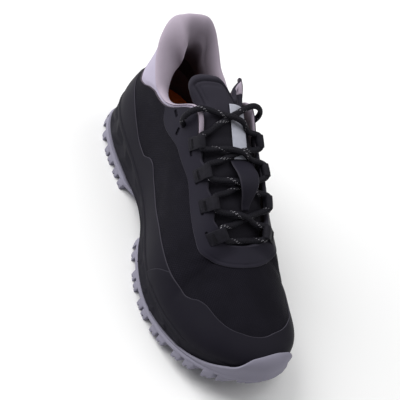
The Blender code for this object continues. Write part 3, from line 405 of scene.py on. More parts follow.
def wall_points(at, share):
    """Return points of the wall at a station and a share of its length, foot to top."""
    at, share = matched(at, share)
    shape, at, share = at.shape, at.ravel(), share.ravel()
    bezier, run = wall_curve(at)
    run = run / run[-1]
    cell = np.clip((run < share).sum(axis=0) - 1, 0, WALL_STEPS - 2)
    column = np.arange(len(at))
    low, high = run[cell, column], run[cell + 1, column]
    t = (cell + (share - low) / np.maximum(high - low, 1e-9)) / (WALL_STEPS - 1)
    return bezier(t).reshape(shape + (3,))


def wall_length(at):
    at = np.asarray(at, float)
    return wall_curve(at.ravel())[1][-1].reshape(at.shape)


def wall_normals(at, share):
    at, share = matched(at, share)
    low = np.clip(share - 0.01, 0.0, 0.985)
    rise = wall_points(at, low + 0.015) - wall_points(at, low)
    run = wall_points(at + 0.003, share) - wall_points(at - 0.003, share)
    normal = np.cross(run, rise)
    size = np.linalg.norm(normal, axis=-1, keepdims=True)
    spine_up = np.array([0.28, 0.0, 0.96])
    return np.where(size > 1e-6, normal / np.maximum(size, 1e-9), spine_up)


def rim_rise(at, below=0.96):
    """Return the wall's upward direction at its top edge."""
    return unit(wall_points(at, 1.0) - wall_points(at, below))


# Soft creases of the wall: middle (station, height over feather), half run and
# width in millimetres, tilt in degrees, and depth (below zero for a ridge)
Crease = namedtuple("Crease", "at height half_run width tilt depth")
CREASES = [
    Crease(0.705, 52.0, 16.0, 4.0, 62.0, 0.7),
    Crease(0.745, 50.0, 15.0, 4.5, 70.0, 0.6),
    Crease(1.285, 50.0, 15.0, 4.0, 112.0, 0.7),
    Crease(1.250, 48.0, 14.0, 4.5, 108.0, 0.6),
    Crease(0.255, 40.0, 15.0, 5.0, 20.0, 0.8),
    Crease(1.745, 40.0, 15.0, 5.0, 160.0, 0.8),
    Crease(0.430, 44.0, 18.0, 6.0, -28.0, -0.5),
    Crease(0.520, 40.0, 16.0, 6.0, 35.0, 0.5),
    Crease(1.500, 42.0, 18.0, 6.0, 205.0, -0.5),
]


def crease(at, height):
    """Return how far all creases move the wall outward."""
    total = np.zeros(np.broadcast(at, height).shape)
    at = np.mod(at, 2.0)
    for row in CREASES:
        dx = (at - row.at) * SIDE_MM
        dy = height - row.height
        tilt = math.radians(row.tilt)
        run = dx * math.cos(tilt) + dy * math.sin(tilt)
        side = -dx * math.sin(tilt) + dy * math.cos(tilt)
        total -= row.depth * np.exp(-(side / row.width) ** 2 - (run / row.half_run) ** 2)
    return total


def skin(at, share, offset):
    """Return points over the creased wall."""
    at, share, offset = matched(at, share, offset)
    height = share * wall_length(at)
    lift = offset + crease(at, height)
    return wall_points(at, share) + wall_normals(at, share) * lift[..., None]


# Mesh kit
class Build:
    """Collects grids and fans into one mesh, in millimetres of the last's frame."""

    def __init__(self):
        self.verts, self.faces, self.corners, self.slots, self.edge = [], [], [], [], []
        self.count = 0

    def points(self, points, edge=None):
        points = np.asarray(points, float).reshape(-1, 3)
        first = self.count
        self.verts.append(points)
        self.edge.append(np.zeros(len(points)) if edge is None else np.asarray(edge, float).ravel())
        self.count += len(points)
        return np.arange(first, self.count)

    def quads(self, index, uv, closed=False, slot=0, flip=False):
        """Join a grid of point numbers [u][v]; uv has one more column where it is closed."""
        if closed:
            index = np.concatenate([index, index[:1]])
        cells = [index[:-1, :-1], index[1:, :-1], index[1:, 1:], index[:-1, 1:]]
        places = [uv[:-1, :-1], uv[1:, :-1], uv[1:, 1:], uv[:-1, 1:]]
        if flip:
            cells, places = cells[::-1], places[::-1]
        faces = np.stack(cells, -1).reshape(-1, 4)
        self.faces += faces.tolist()
        self.corners += np.stack(places, -2).reshape(-1, 4, 2).tolist()
        self.slots += [slot] * len(faces)

    def grid(self, points, uv=None, closed=False, slot=0, flip=False, edge=None):
        points = np.asarray(points, float)
        index = self.points(points, edge).reshape(points.shape[:2])
        if uv is None:
            uv = measured_uv(points, closed)
        self.quads(index, uv, closed, slot, flip)
        return index

    def slab(self, outer, under, slot=0, under_slot=None, edge=None):
        """Close two matching sheets into one body."""
        uv = measured_uv(outer)
        top = self.grid(outer, uv, slot=slot, edge=edge)
        low = self.grid(under, uv, slot=slot if under_slot is None else under_slot, flip=True)
        for rim, flip in ((np.s_[:, 0], True), (np.s_[:, -1], False), (np.s_[0], False), (np.s_[-1], True)):
            self.quads(np.stack([top[rim], low[rim]], 1), np.stack([uv[rim]] * 2, 1), slot=slot, flip=flip)

    def fan(self, ring, slot=0, flip=False):
        """Fill a ring of point numbers from its middle."""
        points = np.concatenate(self.verts)
        middle = self.points(points[ring].mean(axis=0, keepdims=True))[0]
        ring = list(ring[::-1] if flip else ring)
        for a, b in zip(ring, ring[1:] + ring[:1]):
            self.faces.append([int(a), int(b), int(middle)])
            self.corners.append([[0.0, 0.0]] * 3)
            self.slots.append(slot)

    def tube(self, rings, uv, slot=0):
        """Join rings into a tube with both ends filled."""
        index = self.points(rings).reshape(rings.shape[:2])
        self.quads(np.concatenate([index, index[:, :1]], axis=1), uv, slot=slot)
        self.fan(index[0], slot, flip=True)
        self.fan(index[-1], slot)

    def object(self, name, materials, sharp=50.0):
        """Return the finished object; sharp is the angle in degrees that stays a hard edge."""
        mesh = bpy.data.meshes.new(name)
        mesh.from_pydata(to_metres(np.concatenate(self.verts)).tolist(), [], self.faces)
        layer = mesh.uv_layers.new(name="mm")
        flat = [value for corner in self.corners for place in corner for value in place]
        layer.data.foreach_set("uv", flat)
        mesh.polygons.foreach_set("material_index", self.slots)
        # The edge attribute carries painted light: a painted highlight along film edges, and painted shade
        # deep inside the cuff and on the lower tongue
        mark = mesh.attributes.new("edge", "FLOAT", "POINT")
        mark.data.foreach_set("value", np.concatenate(self.edge))
        body = bmesh.new()
        body.from_mesh(mesh)
        bmesh.ops.remove_doubles(body, verts=body.verts, dist=WELD)
        bmesh.ops.dissolve_degenerate(body, edges=body.edges, dist=1e-8)
        loose = [vert for vert in body.verts if not vert.link_faces]
        bmesh.ops.delete(body, geom=loose, context="VERTS")
        body.to_mesh(mesh)
        body.free()
        mesh.shade_smooth()
        mesh.set_sharp_from_angle(angle=math.radians(sharp))
        for material in materials:
            mesh.materials.append(material)
        piece = bpy.data.objects.new(name, mesh)
        bpy.context.scene.collection.objects.link(piece)
        return piece


def measured_uv(points, closed=False):
    """Return running lengths along both ways of a grid, in millimetres."""
    points = np.asarray(points, float)
    wide = np.concatenate([points, points[:1]]) if closed else points
    u = np.concatenate([[0.0], np.cumsum(np.linalg.norm(np.diff(wide, axis=0), axis=-1).mean(axis=1))])
    rise = np.linalg.norm(np.diff(wide, axis=1), axis=-1)
    v = np.concatenate([np.zeros((len(wide), 1)), np.cumsum(rise, axis=1)], axis=1)
    return np.stack([np.broadcast_to(u[:, None], v.shape), v], -1)


def settle(piece, slot, *nodes):
    """Tie a piece to the body and hide the solids it stands for; its slot argument is not used."""
    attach(piece, "root")
    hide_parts(*nodes)
    return piece


def edge_steps(length, count, fine=(0.0, 0.15, 0.4, 0.8, 1.4, 2.4), both=True):
    """Return shares of a run, crowded at its start and, if asked, at its end."""
    fine = np.array(fine) / length
    middle = np.linspace(fine[-1], 1.0 - (fine[-1] if both else 0.0), count)[1:]
    tail = (1.0 - fine[::-1])[1:] if both else []
    return np.concatenate([fine, middle, tail])


def rounded(distance, radius):
    """Return the height share of a rounded edge at a distance in from it."""
    share = np.clip(np.asarray(distance, float) / radius, 0.0, 1.0)
    return np.sqrt(np.maximum(1.0 - (1.0 - share) ** 2, 0.0))


# Materials
class Nodes:
    """A short way to write a node tree."""

    def __init__(self, name):
        self.material = bpy.data.materials.new(name)
        self.material.use_nodes = True
        self.tree = self.material.node_tree
        self.shader = self.tree.nodes["Principled BSDF"]

    def put(self, socket, value):
        if isinstance(value, bpy.types.NodeSocket):
            self.tree.links.new(value, socket)
        elif hasattr(value, "__len__") and socket.type == "RGBA":
            socket.default_value = (*value, 1.0)
        else:
            socket.default_value = value

    def math(self, kind, a, b=0.0):
        node = self.tree.nodes.new("ShaderNodeMath")
        node.operation = kind
        for socket, value in zip(node.inputs, (a, b)):
            self.put(socket, value)
        return node.outputs[0]

    def ramp(self, value, low, high):
        node = self.tree.nodes.new("ShaderNodeMapRange")
        node.interpolation_type = "SMOOTHSTEP"
        self.put(node.inputs["Value"], value)
        node.inputs["From Min"].default_value = low
        node.inputs["From Max"].default_value = high
        return node.outputs["Result"]

    def mix(self, share, a, b):
        node = self.tree.nodes.new("ShaderNodeMix")
        node.data_type = "RGBA"
        self.put(node.inputs[0], share)
        self.put(node.inputs[6], a)
        self.put(node.inputs[7], b)
        return node.outputs[2]

    def uv(self):
        node = self.tree.nodes.new("ShaderNodeUVMap")
        node.uv_map = "mm"
        split = self.tree.nodes.new("ShaderNodeSeparateXYZ")
        self.tree.links.new(node.outputs[0], split.inputs[0])
        return split.outputs[0], split.outputs[1]

    def noise(self, scale, detail=2.0):
        place = self.tree.nodes.new("ShaderNodeTexCoord")
        node = self.tree.nodes.new("ShaderNodeTexNoise")
        self.put(node.inputs["Vector"], place.outputs["Object"])
        node.inputs["Scale"].default_value = scale
        node.inputs["Detail"].default_value = detail
        return node.outputs["Fac"]

    # Reads the edge attribute, which mixes in painted highlights and painted shade
    def edge(self):
        node = self.tree.nodes.new("ShaderNodeAttribute")
        node.attribute_name = "edge"
        return node.outputs["Fac"]

    def bump(self, height, distance, strength=1.0):
        node = self.tree.nodes.new("ShaderNodeBump")
        node.inputs["Strength"].default_value = strength
        node.inputs["Distance"].default_value = distance * MM
        self.put(node.inputs["Height"], height)
        self.tree.links.new(node.outputs[0], self.shader.inputs["Normal"])

    def set(self, **values):
        for name, value in values.items():
            self.put(self.shader.inputs[name.replace("_", " ")], value)
        return self.material


def wave(nodes, value, pitch):
    """Return 0 to 1 and back over each pitch."""
    return nodes.math("PINGPONG", nodes.math("DIVIDE", value, 0.5 * pitch), 1.0)


def scaled(colour, factor):
    return tuple(factor * channel for channel in colour)


def ripstop(name, base, thread, pitch, depth, rough):
    """Fine cloth with a raised diamond of slanted threads."""
    n = Nodes(name)
    u, v = n.uv()
    one = wave(n, n.math("ADD", u, v), pitch)
    two = wave(n, n.math("SUBTRACT", u, v), pitch)
    lines = n.math("MAXIMUM", n.ramp(one, 0.62, 0.95), n.ramp(two, 0.62, 0.95))
    fine = n.math("MULTIPLY", wave(n, u, 0.42), wave(n, v, 0.42))
    cloud = n.noise(60.0, 3.0)
    height = n.math("ADD", n.math("MULTIPLY", lines, 0.8), n.math("MULTIPLY", fine, 0.35))
    share = n.math("MULTIPLY", lines, n.ramp(cloud, 0.25, 0.75))
    n.bump(height, depth)
    return n.set(Base_Color=n.mix(share, base, thread), Roughness=rough, Specular_IOR_Level=0.06)


def film(name, base, rim, rough):
    """Smooth bonded film with a fine grain; rim is a painted highlight along its cut edges."""
    n = Nodes(name)
    grain = n.noise(2600.0, 2.0)
    cloud = n.noise(40.0, 3.0)
    n.bump(grain, 0.05, 0.6)
    tone = n.mix(n.math("MULTIPLY", n.ramp(cloud, 0.3, 0.8), 0.35), base, scaled(base, 1.35))
    # rim, mixed in by the edge attribute, is a painted highlight along the film's cut edges
    colour = n.mix(n.math("MULTIPLY", n.edge(), 0.75), tone, rim)
    roughness = n.math("ADD", rough, n.math("MULTIPLY", n.math("SUBTRACT", cloud, 0.5), 0.16))
    return n.set(Base_Color=colour, Roughness=roughness, Specular_IOR_Level=0.07)


def knit(name, base, shade, pitch, depth, rough, deep=None):
    """Soft knitted cloth; deep, if given, is a painted shade colour that the edge attribute mixes in far
    inside the shoe.
    """
    n = Nodes(name)
    u, v = n.uv()
    shift = n.math("MULTIPLY", n.math("FLOOR", n.math("DIVIDE", v, pitch)), 0.5 * pitch)
    rib = n.math("MULTIPLY", wave(n, n.math("ADD", u, shift), pitch), wave(n, v, pitch))
    cloud = n.noise(45.0, 3.0)
    n.bump(n.math("ADD", rib, n.math("MULTIPLY", n.noise(900.0, 2.0), 0.8)), depth)
    tone = n.mix(n.ramp(cloud, 0.3, 0.75), base, shade)
    # Painted shade: the edge attribute darkens the cloth towards deep
    if deep is not None:
        tone = n.mix(n.edge(), tone, deep)
    share = n.math("MULTIPLY", n.math("SUBTRACT", 1.0, rib), 0.12)
    colour = n.mix(share, tone, scaled(base, 0.5))
    return n.set(Base_Color=colour, Roughness=rough, Specular_IOR_Level=0.08, Sheen_Weight=0.04,
                 Sheen_Roughness=0.5)


def moulded(name, base, pale, rough, grain, depth):
    """Moulded foam or rubber with a fine stipple and a paler tone in soft random patches."""
    n = Nodes(name)
    stipple = n.noise(grain, 2.0)
    cloud = n.noise(35.0, 4.0)
    n.bump(stipple, depth, 0.7)
    colour = n.mix(n.math("MULTIPLY", n.ramp(cloud, 0.35, 0.8), 0.5), base, pale)
    roughness = n.math("ADD", rough, n.math("MULTIPLY", n.math("SUBTRACT", stipple, 0.5), 0.2))
    return n.set(Base_Color=colour, Roughness=roughness, Specular_IOR_Level=0.12)


def webbing(name, base, pale, pitch, depth, rough):
    """Woven tape: ribs across it, with a finer warp."""
    n = Nodes(name)
    u, v = n.uv()
    rib = wave(n, u, pitch)
    warp = wave(n, v, 0.6 * pitch)
    height = n.math("ADD", n.math("MULTIPLY", rib, 0.7), n.math("MULTIPLY", warp, 0.3))
    n.bump(height, depth)
    cloud = n.noise(300.0, 2.0)
    share = n.math("MULTIPLY", rib, n.ramp(cloud, 0.2, 0.8))
    return n.set(Base_Color=n.mix(share, base, pale), Roughness=rough, Specular_IOR_Level=0.12)


def braid(name, base, fleck):
    """Braided cord: uv runs in millimetres along it and in turns round it."""
    n = Nodes(name)
    u, v = n.uv()
    turn = n.math("MULTIPLY", v, 4.0)
    one = wave(n, n.math("ADD", n.math("DIVIDE", u, 2.2), turn), 1.0)
    two = wave(n, n.math("SUBTRACT", n.math("DIVIDE", u, 2.2), turn), 1.0)
    n.bump(n.math("MAXIMUM", one, two), 0.25)
    drift = n.math("FRACT", n.math("ADD", v, n.math("DIVIDE", u, 23.0)))

    def tracer(middle, shift):
        away = n.math("ABSOLUTE", n.math("SUBTRACT", drift, middle))
        dash = n.ramp(wave(n, n.math("ADD", u, shift), 2.1), 0.56, 0.68)
        return n.math("MULTIPLY", n.math("SUBTRACT", 1.0, n.ramp(away, 0.008, 0.016)), dash)

    gate = n.ramp(wave(n, u, 31.0), 0.15, 0.3)
    marks = n.math("MAXIMUM", tracer(0.46, 0.0), n.math("MULTIPLY", tracer(0.535, 1.05), gate))
    tone = n.mix(n.math("MULTIPLY", one, two), base, scaled(base, 2.0))
    return n.set(Base_Color=n.mix(marks, tone, fleck), Roughness=0.62, Specular_IOR_Level=0.12)


QUARTER = ripstop("quarter_ripstop", (0.0064, 0.0058, 0.0094), (0.0135, 0.0123, 0.0190), 2.1, 0.2, 0.66)
# The third colour of each film below is a painted highlight along its cut edges
FILM_SKIN = film("overlay_satin", (0.0098, 0.0089, 0.0140), (0.068, 0.064, 0.080), 0.56)
STAY_SKIN = film("eyestay_satin", (0.0162, 0.0149, 0.0228), (0.050, 0.047, 0.060), 0.52)
PANEL = knit("cuff_panel_cloth", (0.45, 0.41, 0.52), (0.42, 0.385, 0.49), 0.7, 0.05, 0.8)
# The roll's last colour is painted shade, for where it turns in over the medial side and deep inside
ROLL = knit("cuff_roll_cloth", (0.415, 0.355, 0.428), (0.385, 0.332, 0.400), 0.6, 0.04, 0.85,
            (0.055, 0.044, 0.057))
# The lining is light cloth painted dark as shade, with a darker painted shade deeper inside
SHADED_LINING = knit("lining_cloth", (0.090, 0.075, 0.092), (0.078, 0.066, 0.080), 0.8, 0.08, 0.85,
              (0.028, 0.022, 0.029))
# Near black lining painted as shadow, for the inside of the upper further forward
SHADOW_LINING = knit("lining_painted_shadow", (0.012, 0.011, 0.013), (0.016, 0.015, 0.018), 0.9, 0.1, 0.85)
# The tongue cloth's last colour is painted shade on its lower part, under the laces
TONGUE_CLOTH = knit("tongue_cloth", (0.0285, 0.0260, 0.0370), (0.0320, 0.0294, 0.0415), 0.8, 0.12, 0.7,
                    (0.0095, 0.0087, 0.0130))
# Its third colour is a painted highlight along the keeper strip's cut edges
TONGUE_FILM = film("tongue_satin", (0.0150, 0.0138, 0.0210), (0.036, 0.034, 0.044), 0.52)
MIDSOLE_FOAM = moulded("midsole_moulding", (0.0095, 0.0088, 0.0136), (0.0130, 0.0120, 0.0180), 0.62,
                       1500.0, 0.08)
RUBBER = moulded("outsole_moulding", (0.235, 0.226, 0.285), (0.260, 0.250, 0.315), 0.62, 1200.0, 0.07)
WEB = webbing("loop_tape", (0.0068, 0.0063, 0.0096), (0.0185, 0.0172, 0.0245), 0.9, 0.16, 0.6)
RIBBON = webbing("ribbon_tape", (0.38, 0.39, 0.455), (0.47, 0.48, 0.545), 0.5, 0.05, 0.36)
CORD_SKIN = braid("lace_braid", (0.0058, 0.0054, 0.0082), (0.36, 0.35, 0.38))
FOOTBED = knit("footbed_cloth", (0.68, 0.140, 0.028), (0.58, 0.118, 0.024), 1.1, 0.12, 0.85)
THREAD = webbing("seam_thread", (0.010, 0.0095, 0.0125), (0.024, 0.023, 0.028), 0.5, 0.06, 0.6)
# Near black painted shadow for the walls of holes punched through the eyestay
HOLE_SHADOW = moulded("hole_shadow", (0.004, 0.004, 0.005), (0.006, 0.006, 0.007), 0.9, 900.0, 0.03)


# Upper
LOOP_ALONG = (0.655, 0.572, 0.492, 0.420)
SCALLOP = 2.2
# The cloth's threads lie on a chart rolled round the shoe; behind a station it
# goes on from an x along the wall
CHART_RADIUS = 48.0
CHART_DROP = 5.0
CHART_ALONG = 0.187
CHART_X = 42.0
# Station past which the lining inside the upper is painted near black as shadow
SHADOW_LINING_START = 0.44
# The wall sinks a little under the front of the eyestay
DIP_DEPTH = 1.5
DIP_LONG = 11.0
DIP_WIDE = 23.0
# The throat's edge drops a little between the top eyelet and its nearest loop
FLAP_STEP = 2.0


def scallop(at):
    """Return how far the throat's edge steps back between the lace loops."""
    along = along_of(at)
    stops = np.array(sorted(LOOP_ALONG))
    cell = np.clip(np.searchsorted(stops, along) - 1, 0, len(stops) - 2)
    share = np.clip((along - stops[cell]) / (stops[cell + 1] - stops[cell]), 0.0, 1.0)
    inside = (along > stops[0]) & (along < stops[-1])
    return np.where(inside, SCALLOP * smoothstep(0.15, 0.5, 0.5 - np.abs(share - 0.5)), 0.0)


def edge_share(at):
    """Return the share of the wall where the upper stops: under the cuff, or at the throat."""
    along = along_of(at)
    drop = np.where(along <= EYELET_ALONG, cuff_depth(along), scallop(at))
    drop = np.where(along >= THROAT_ALONG, 0.0, drop)
    ease = smoothstep(EYELET_ALONG, EYELET_ALONG + 0.02, along)
    drop = np.where(along > EYELET_ALONG, np.maximum(drop, cuff_depth(along) * (1.0 - ease)), drop)
    drop = drop + FLAP_STEP * between(0.345, 0.362, 0.405, 0.425, along)
    return 1.0 - drop / wall_length(at)


def build_upper():
    """Make the hollow wall: cloth outside, lining inside with painted shade, lighter round the collar and
    painted near black as shadow further forward.
    """
    at = np.linspace(0.0, 2.0, 441)[:-1]
    top = edge_share(at)[:, None]
    share = top * np.concatenate([np.linspace(0.0, 0.9, 34), [0.93, 0.955, 0.975, 0.99, 1.0]])
    plan = wall_points(at[:, None], share)
    near = ((plan[..., 0] - THROAT_X) / DIP_LONG) ** 2 + ((plan[..., 1] - SPINE_Y) / DIP_WIDE) ** 2
    outer = skin(at[:, None], share, -DIP_DEPTH * np.exp(-near ** 2))
    rise = wall_normals(at[:, None], top)
    run = outer[:, -1:] - outer[:, -2:-1]
    run /= np.maximum(np.linalg.norm(run, axis=-1, keepdims=True), 1e-6)
    turn = np.radians([40.0, 90.0, 140.0])
    middle = outer[:, -1:] - 0.5 * WALL * rise
    rim = middle + 0.5 * WALL * (np.cos(turn)[:, None] * rise + 0.8 * np.sin(turn)[:, None] * run)
    closed = along_of(at) >= THROAT_ALONG
    through = np.linspace(outer[closed, -1], outer[closed, -1] - WALL * rise[closed, 0], 5)[1:-1]
    rim[closed] = through.transpose(1, 0, 2)
    inner = skin(at[:, None], share[:, ::-2], -WALL)
    ring = np.concatenate([outer, rim, inner], axis=1)
    along = along_of(at)[:, None]
    inward = smoothstep(0.15, 0.25, along)
    u = inward * ring[..., 0] + (1.0 - inward) * (CHART_X + (along - CHART_ALONG) * SIDE_MM)
    above = ring[..., 2] - feather_z(ring[..., 0]) + CHART_DROP
    v = CHART_RADIUS * np.arctan2(ring[..., 1] - SPINE_Y, above)
    uv = np.stack([u, v], -1)
    build = Build()
    index = build.points(ring).reshape(ring.shape[:2])
    split = outer.shape[1]
    # Lining faces past this station take the painted shadow lining, the rest the painted shade lining
    light = along_of(at + 0.5 * (at[1] - at[0])) < SHADOW_LINING_START
    for i in range(len(at)):
        pair = [i, (i + 1) % len(at)]
        build.quads(index[pair, :split], uv[pair, :split])
        first = split + 3 if closed[pair].all() else split - 1
        build.quads(index[pair, first:], uv[pair, first:], slot=1 if light[i] else 2)
        build.quads(index[pair][:, [-1, 0]], uv[pair][:, [-1, 0]], slot=2)
    piece = build.object("upper_skin", [QUARTER, SHADED_LINING, SHADOW_LINING], 60.0)
    return settle(piece, "quarter_fabric", "upper")


# Film overlays
FILM_LIFT = 0.75
FILM_UNDER = 0.06
FILM_EDGE = 0.04
FILM_ROUND = 0.8
# Distances from an edge over which the painted highlight along it fades
FILM_HIGHLIGHT_FADE = (0.12, 0.6)
# The toe cap's rear edge: lift over the side film, distances over which it
# settles, and how far the side film runs on under it
CAP_LIFT = 0.55
CAP_SETTLE = (5.0, 16.0)
CAP_LAP = 0.008
# Stations whose film height sets the scale of the seam, on the cap and under it
CAP_TOP = 0.66
SIDE_TOP = 0.655


def film_slab(build, at, share, gaps, extra=0.0):
    """Add a film over the wall; gaps are the distances to its free edges."""
    near = np.minimum.reduce([rounded(gap, FILM_ROUND) for gap in gaps])
    closest = np.minimum.reduce(gaps)
    outer = skin(at, share, FILM_UNDER + FILM_EDGE + (FILM_LIFT + extra - FILM_UNDER) * near)
    under = skin(at, share, FILM_UNDER)
    # The edge attribute paints a highlight along the film's free edges
    build.slab(outer, under, edge=1.0 - smoothstep(*FILM_HIGHLIGHT_FADE, closest))


def build_toe_cap():
    """Make the toe cap, which laps over the side film along its slanted rear edge."""
    rows = edge_steps(27.0, 22, both=False)[::-1]
    height_share = 1.0 - rows
    columns = edge_steps(2.0 * (1.0 - 0.64) * SIDE_MM, 190)
    start = cap_seam(height_share * film_line(CAP_TOP))
    at = start[None, :] + (2.0 - 2.0 * start)[None, :] * columns[:, None]
    height = height_share[None, :] * film_line(at)
    side = np.minimum(at - start, 2.0 - start - at) * SIDE_MM
    build = Build()
    lap = CAP_LIFT * (1.0 - smoothstep(*CAP_SETTLE, side))
    film_slab(build, at, height / wall_length(at), [film_line(at) - height, side], lap)
    return settle(build.object("toe_cap_film", [FILM_SKIN]), "overlay_film", "toe_cap")


def build_side_film():
    """Make the film along both sides and round the heel."""
    rows = edge_steps(24.0, 20, both=False)[::-1]
    height_share = 1.0 - rows
    columns = edge_steps(2.0 * 0.62 * SIDE_MM, 300)
    stop = cap_seam(height_share * film_line(SIDE_TOP)) + CAP_LAP
    at = -stop[None, :] + 2.0 * stop[None, :] * columns[:, None]
    top = film_line(np.mod(at, 2.0))
    height = height_share[None, :] * top
    build = Build()
    film_slab(build, at, height / wall_length(at), [top - height])
    return settle(build.object("side_film", [FILM_SKIN]), "overlay_film", "side_overlay")


# Cut-outs of the eyestay: station, depth under the topline, half length and
# half width in millimetres, and tilt from the edge in degrees
Cut = namedtuple("Cut", "along depth half_length half_width tilt")
SLITS = [
    Cut(0.321, 12.0, 3.3, 1.5, 55.0),
    Cut(0.361, 25.2, 3.3, 1.5, 55.0),
]
EYELET = Cut(0.360, 17.4, 2.8, 2.8, 0.0)
SLOT_DEPTH = 9.4
SLOT = (6.2, 1.3)
PEG_SIDES = 24
PEG_LEVELS = (-1.2, 3.0)


def eyestay_cutters():
    """Return one mesh of pegs that punch the eyestay's slits, eyelets and loop slots."""
    slots = [Cut(along, SLOT_DEPTH, SLOT[0], SLOT[1], 0.0) for along in LOOP_ALONG]
    build = Build()
    for cut in SLITS + [EYELET] + slots:
        over, across = squared_circle(PEG_SIDES, 1.0 if cut is EYELET else 0.4)
        tilt = math.radians(cut.tilt)
        for at in (cut.along, 2.0 - cut.along):
            middle, out, run, rise = wall_frame(at, 1.0 - cut.depth / float(wall_length(at)))
            long = math.cos(tilt) * run - math.sin(tilt) * rise
            wide = math.sin(tilt) * run + math.cos(tilt) * rise
            shape = np.outer(cut.half_length * over, long) + np.outer(cut.half_width * across, wide)
            rings = np.stack([middle + shape + out * level for level in PEG_LEVELS])
            build.tube(rings, np.zeros((2, PEG_SIDES + 1, 2)))
    return build.object("eyestay_cutters", [HOLE_SHADOW])


def wall_frame(at, share):
    """Return a wall point with its outward, toe-ward and upward directions."""
    at = np.array([at])
    share = np.array([share])
    middle = skin(at, share, 0.0)[0]
    out = wall_normals(at, share)[0]
    run = skin(at + 0.004, share, 0.0)[0] - skin(at - 0.004, share, 0.0)[0]
    run *= 1.0 if run[0] > 0.0 else -1.0
    run = unit(run - out * run.dot(out))
    rise = np.cross(out, run)
    rise *= 1.0 if rise[2] > 0.0 else -1.0
    return middle, out, run, rise


# Outer edge of the eyestay's front: x and the distance from the shoe's middle line
STAY_FRONT = [
    (187.0, 37.0), (193.0, 36.9), (199.0, 36.6), (203.0, 35.6), (206.3, 33.4), (209.2, 29.6), (212.2, 25.2),
    (215.0, 20.6), (217.8, 14.0), (219.3, 7.0), (219.7, 0.0)]
STAY_JOIN = 0.620
# Rolled edge round the throat: depth under the edge, lift over the wall
STAY_LIP = np.array([(-0.7, -2.3), (-1.1, -1.4), (-1.0, -0.4), (-0.5, 0.4)])
FLAT_LIP = np.array([0.10, 0.30, 0.50, 0.65])
# How far the film's underside runs in past the throat's edge
LIP_SEAT = 0.15
FRONT_COLUMNS = 110
# Pressed line round the front of the eyestay
GROOVE_DEPTH = 0.4
GROOVE_IN = 2.6
GROOVE_WIDE = 0.5
EASE_RADIUS = 4.5


def smooth_wall(places):
    """Return heights and normals over plan points near the throat, eased across the wall's columns."""
    half = np.linspace(0.57, 0.80, 84)
    at = np.concatenate([half, 2.0 - half])
    samples = wall_points(at[:, None], np.linspace(0.4, 1.0, 50)[None, :]).reshape(-1, 3)
    found = []
    for x, y in places:
        dx = samples[:, 0] - x
        dy = samples[:, 1] - y
        close = dx * dx + dy * dy < (3.0 * EASE_RADIUS) ** 2
        dx = dx[close]
        dy = dy[close]
        weight = np.exp(-(dx * dx + dy * dy) / EASE_RADIUS ** 2)
        basis = np.stack([np.ones_like(dx), dx, dy, dx * dx, dx * dy, dy * dy])
        fit = np.linalg.solve((basis * weight) @ basis.T, (basis * weight) @ samples[close, 2])
        found.append(fit[:3])
    found = np.array(found)
    return found[:, 0], unit(np.stack([-found[:, 1], -found[:, 2], np.ones(len(found))], 1))


def stay_side(side, rows):
    """Return the eyestay's columns along one side: base, normal, depth, lip, seat and share of roll."""
    along = along_of(side)
    length = wall_length(side)
    top_depth = (1.0 - edge_share(side)) * length
    width = np.maximum(stay_line(along) - top_depth, 0.4)
    depth = width[:, None] * rows
    share = 1.0 - (top_depth[:, None] + depth) / length[:, None]
    base = skin(side[:, None], share, 0.0)
    normal = wall_normals(side[:, None], share)
    rise = rim_rise(side)[:, None]
    roll = smoothstep(0.425, 0.445, along)[:, None]
    reach = np.broadcast_to(STAY_LIP[:, 0], (len(side), len(STAY_LIP))) * roll
    lips = base[:, :1] - rise * reach[..., None]
    seat = base[:, :1] + rise * (LIP_SEAT * roll)[..., None]
    return base, normal, depth, lips, np.broadcast_to(seat, lips.shape), roll


def stay_front(rows):
    """Return the same for the columns that run round the front of the throat."""
    half = np.linspace(STAY_JOIN, THROAT_ALONG, 160)
    at = np.concatenate([half, 2.0 - half[-2::-1]])
    inner = evened(wall_points(at, edge_share(at))[:, :2], FRONT_COLUMNS)
    lateral = np.array(STAY_FRONT) * (1.0, -1.0) + (0.0, SPINE_Y)
    medial = np.array(STAY_FRONT)[-2::-1] + (0.0, SPINE_Y)
    outer = smooth_path(np.concatenate([lateral, medial]), FRONT_COLUMNS)
    width = np.linalg.norm(outer - inner, axis=1)
    ray = (outer - inner) / width[:, None]
    depth = width[:, None] * rows
    lip = np.broadcast_to(STAY_LIP[:, 0], (FRONT_COLUMNS, len(STAY_LIP)))
    reach = np.concatenate([lip, np.full((FRONT_COLUMNS, 1), -LIP_SEAT), depth], 1)
    plan = inner[:, None] + ray[:, None] * reach[..., None]
    height, normal = smooth_wall(plan.reshape(-1, 2))
    points = np.concatenate([plan.reshape(-1, 2), height[:, None]], 1).reshape(plan.shape[:2] + (3,))
    normal = normal.reshape(points.shape)
    skip = len(STAY_LIP)
    lips = points[:, :skip]
    seat = np.broadcast_to(points[:, skip:skip + 1], lips.shape)
    return points[:, skip + 1:], normal[:, skip + 1:], depth, lips, seat, np.ones((FRONT_COLUMNS, 1))


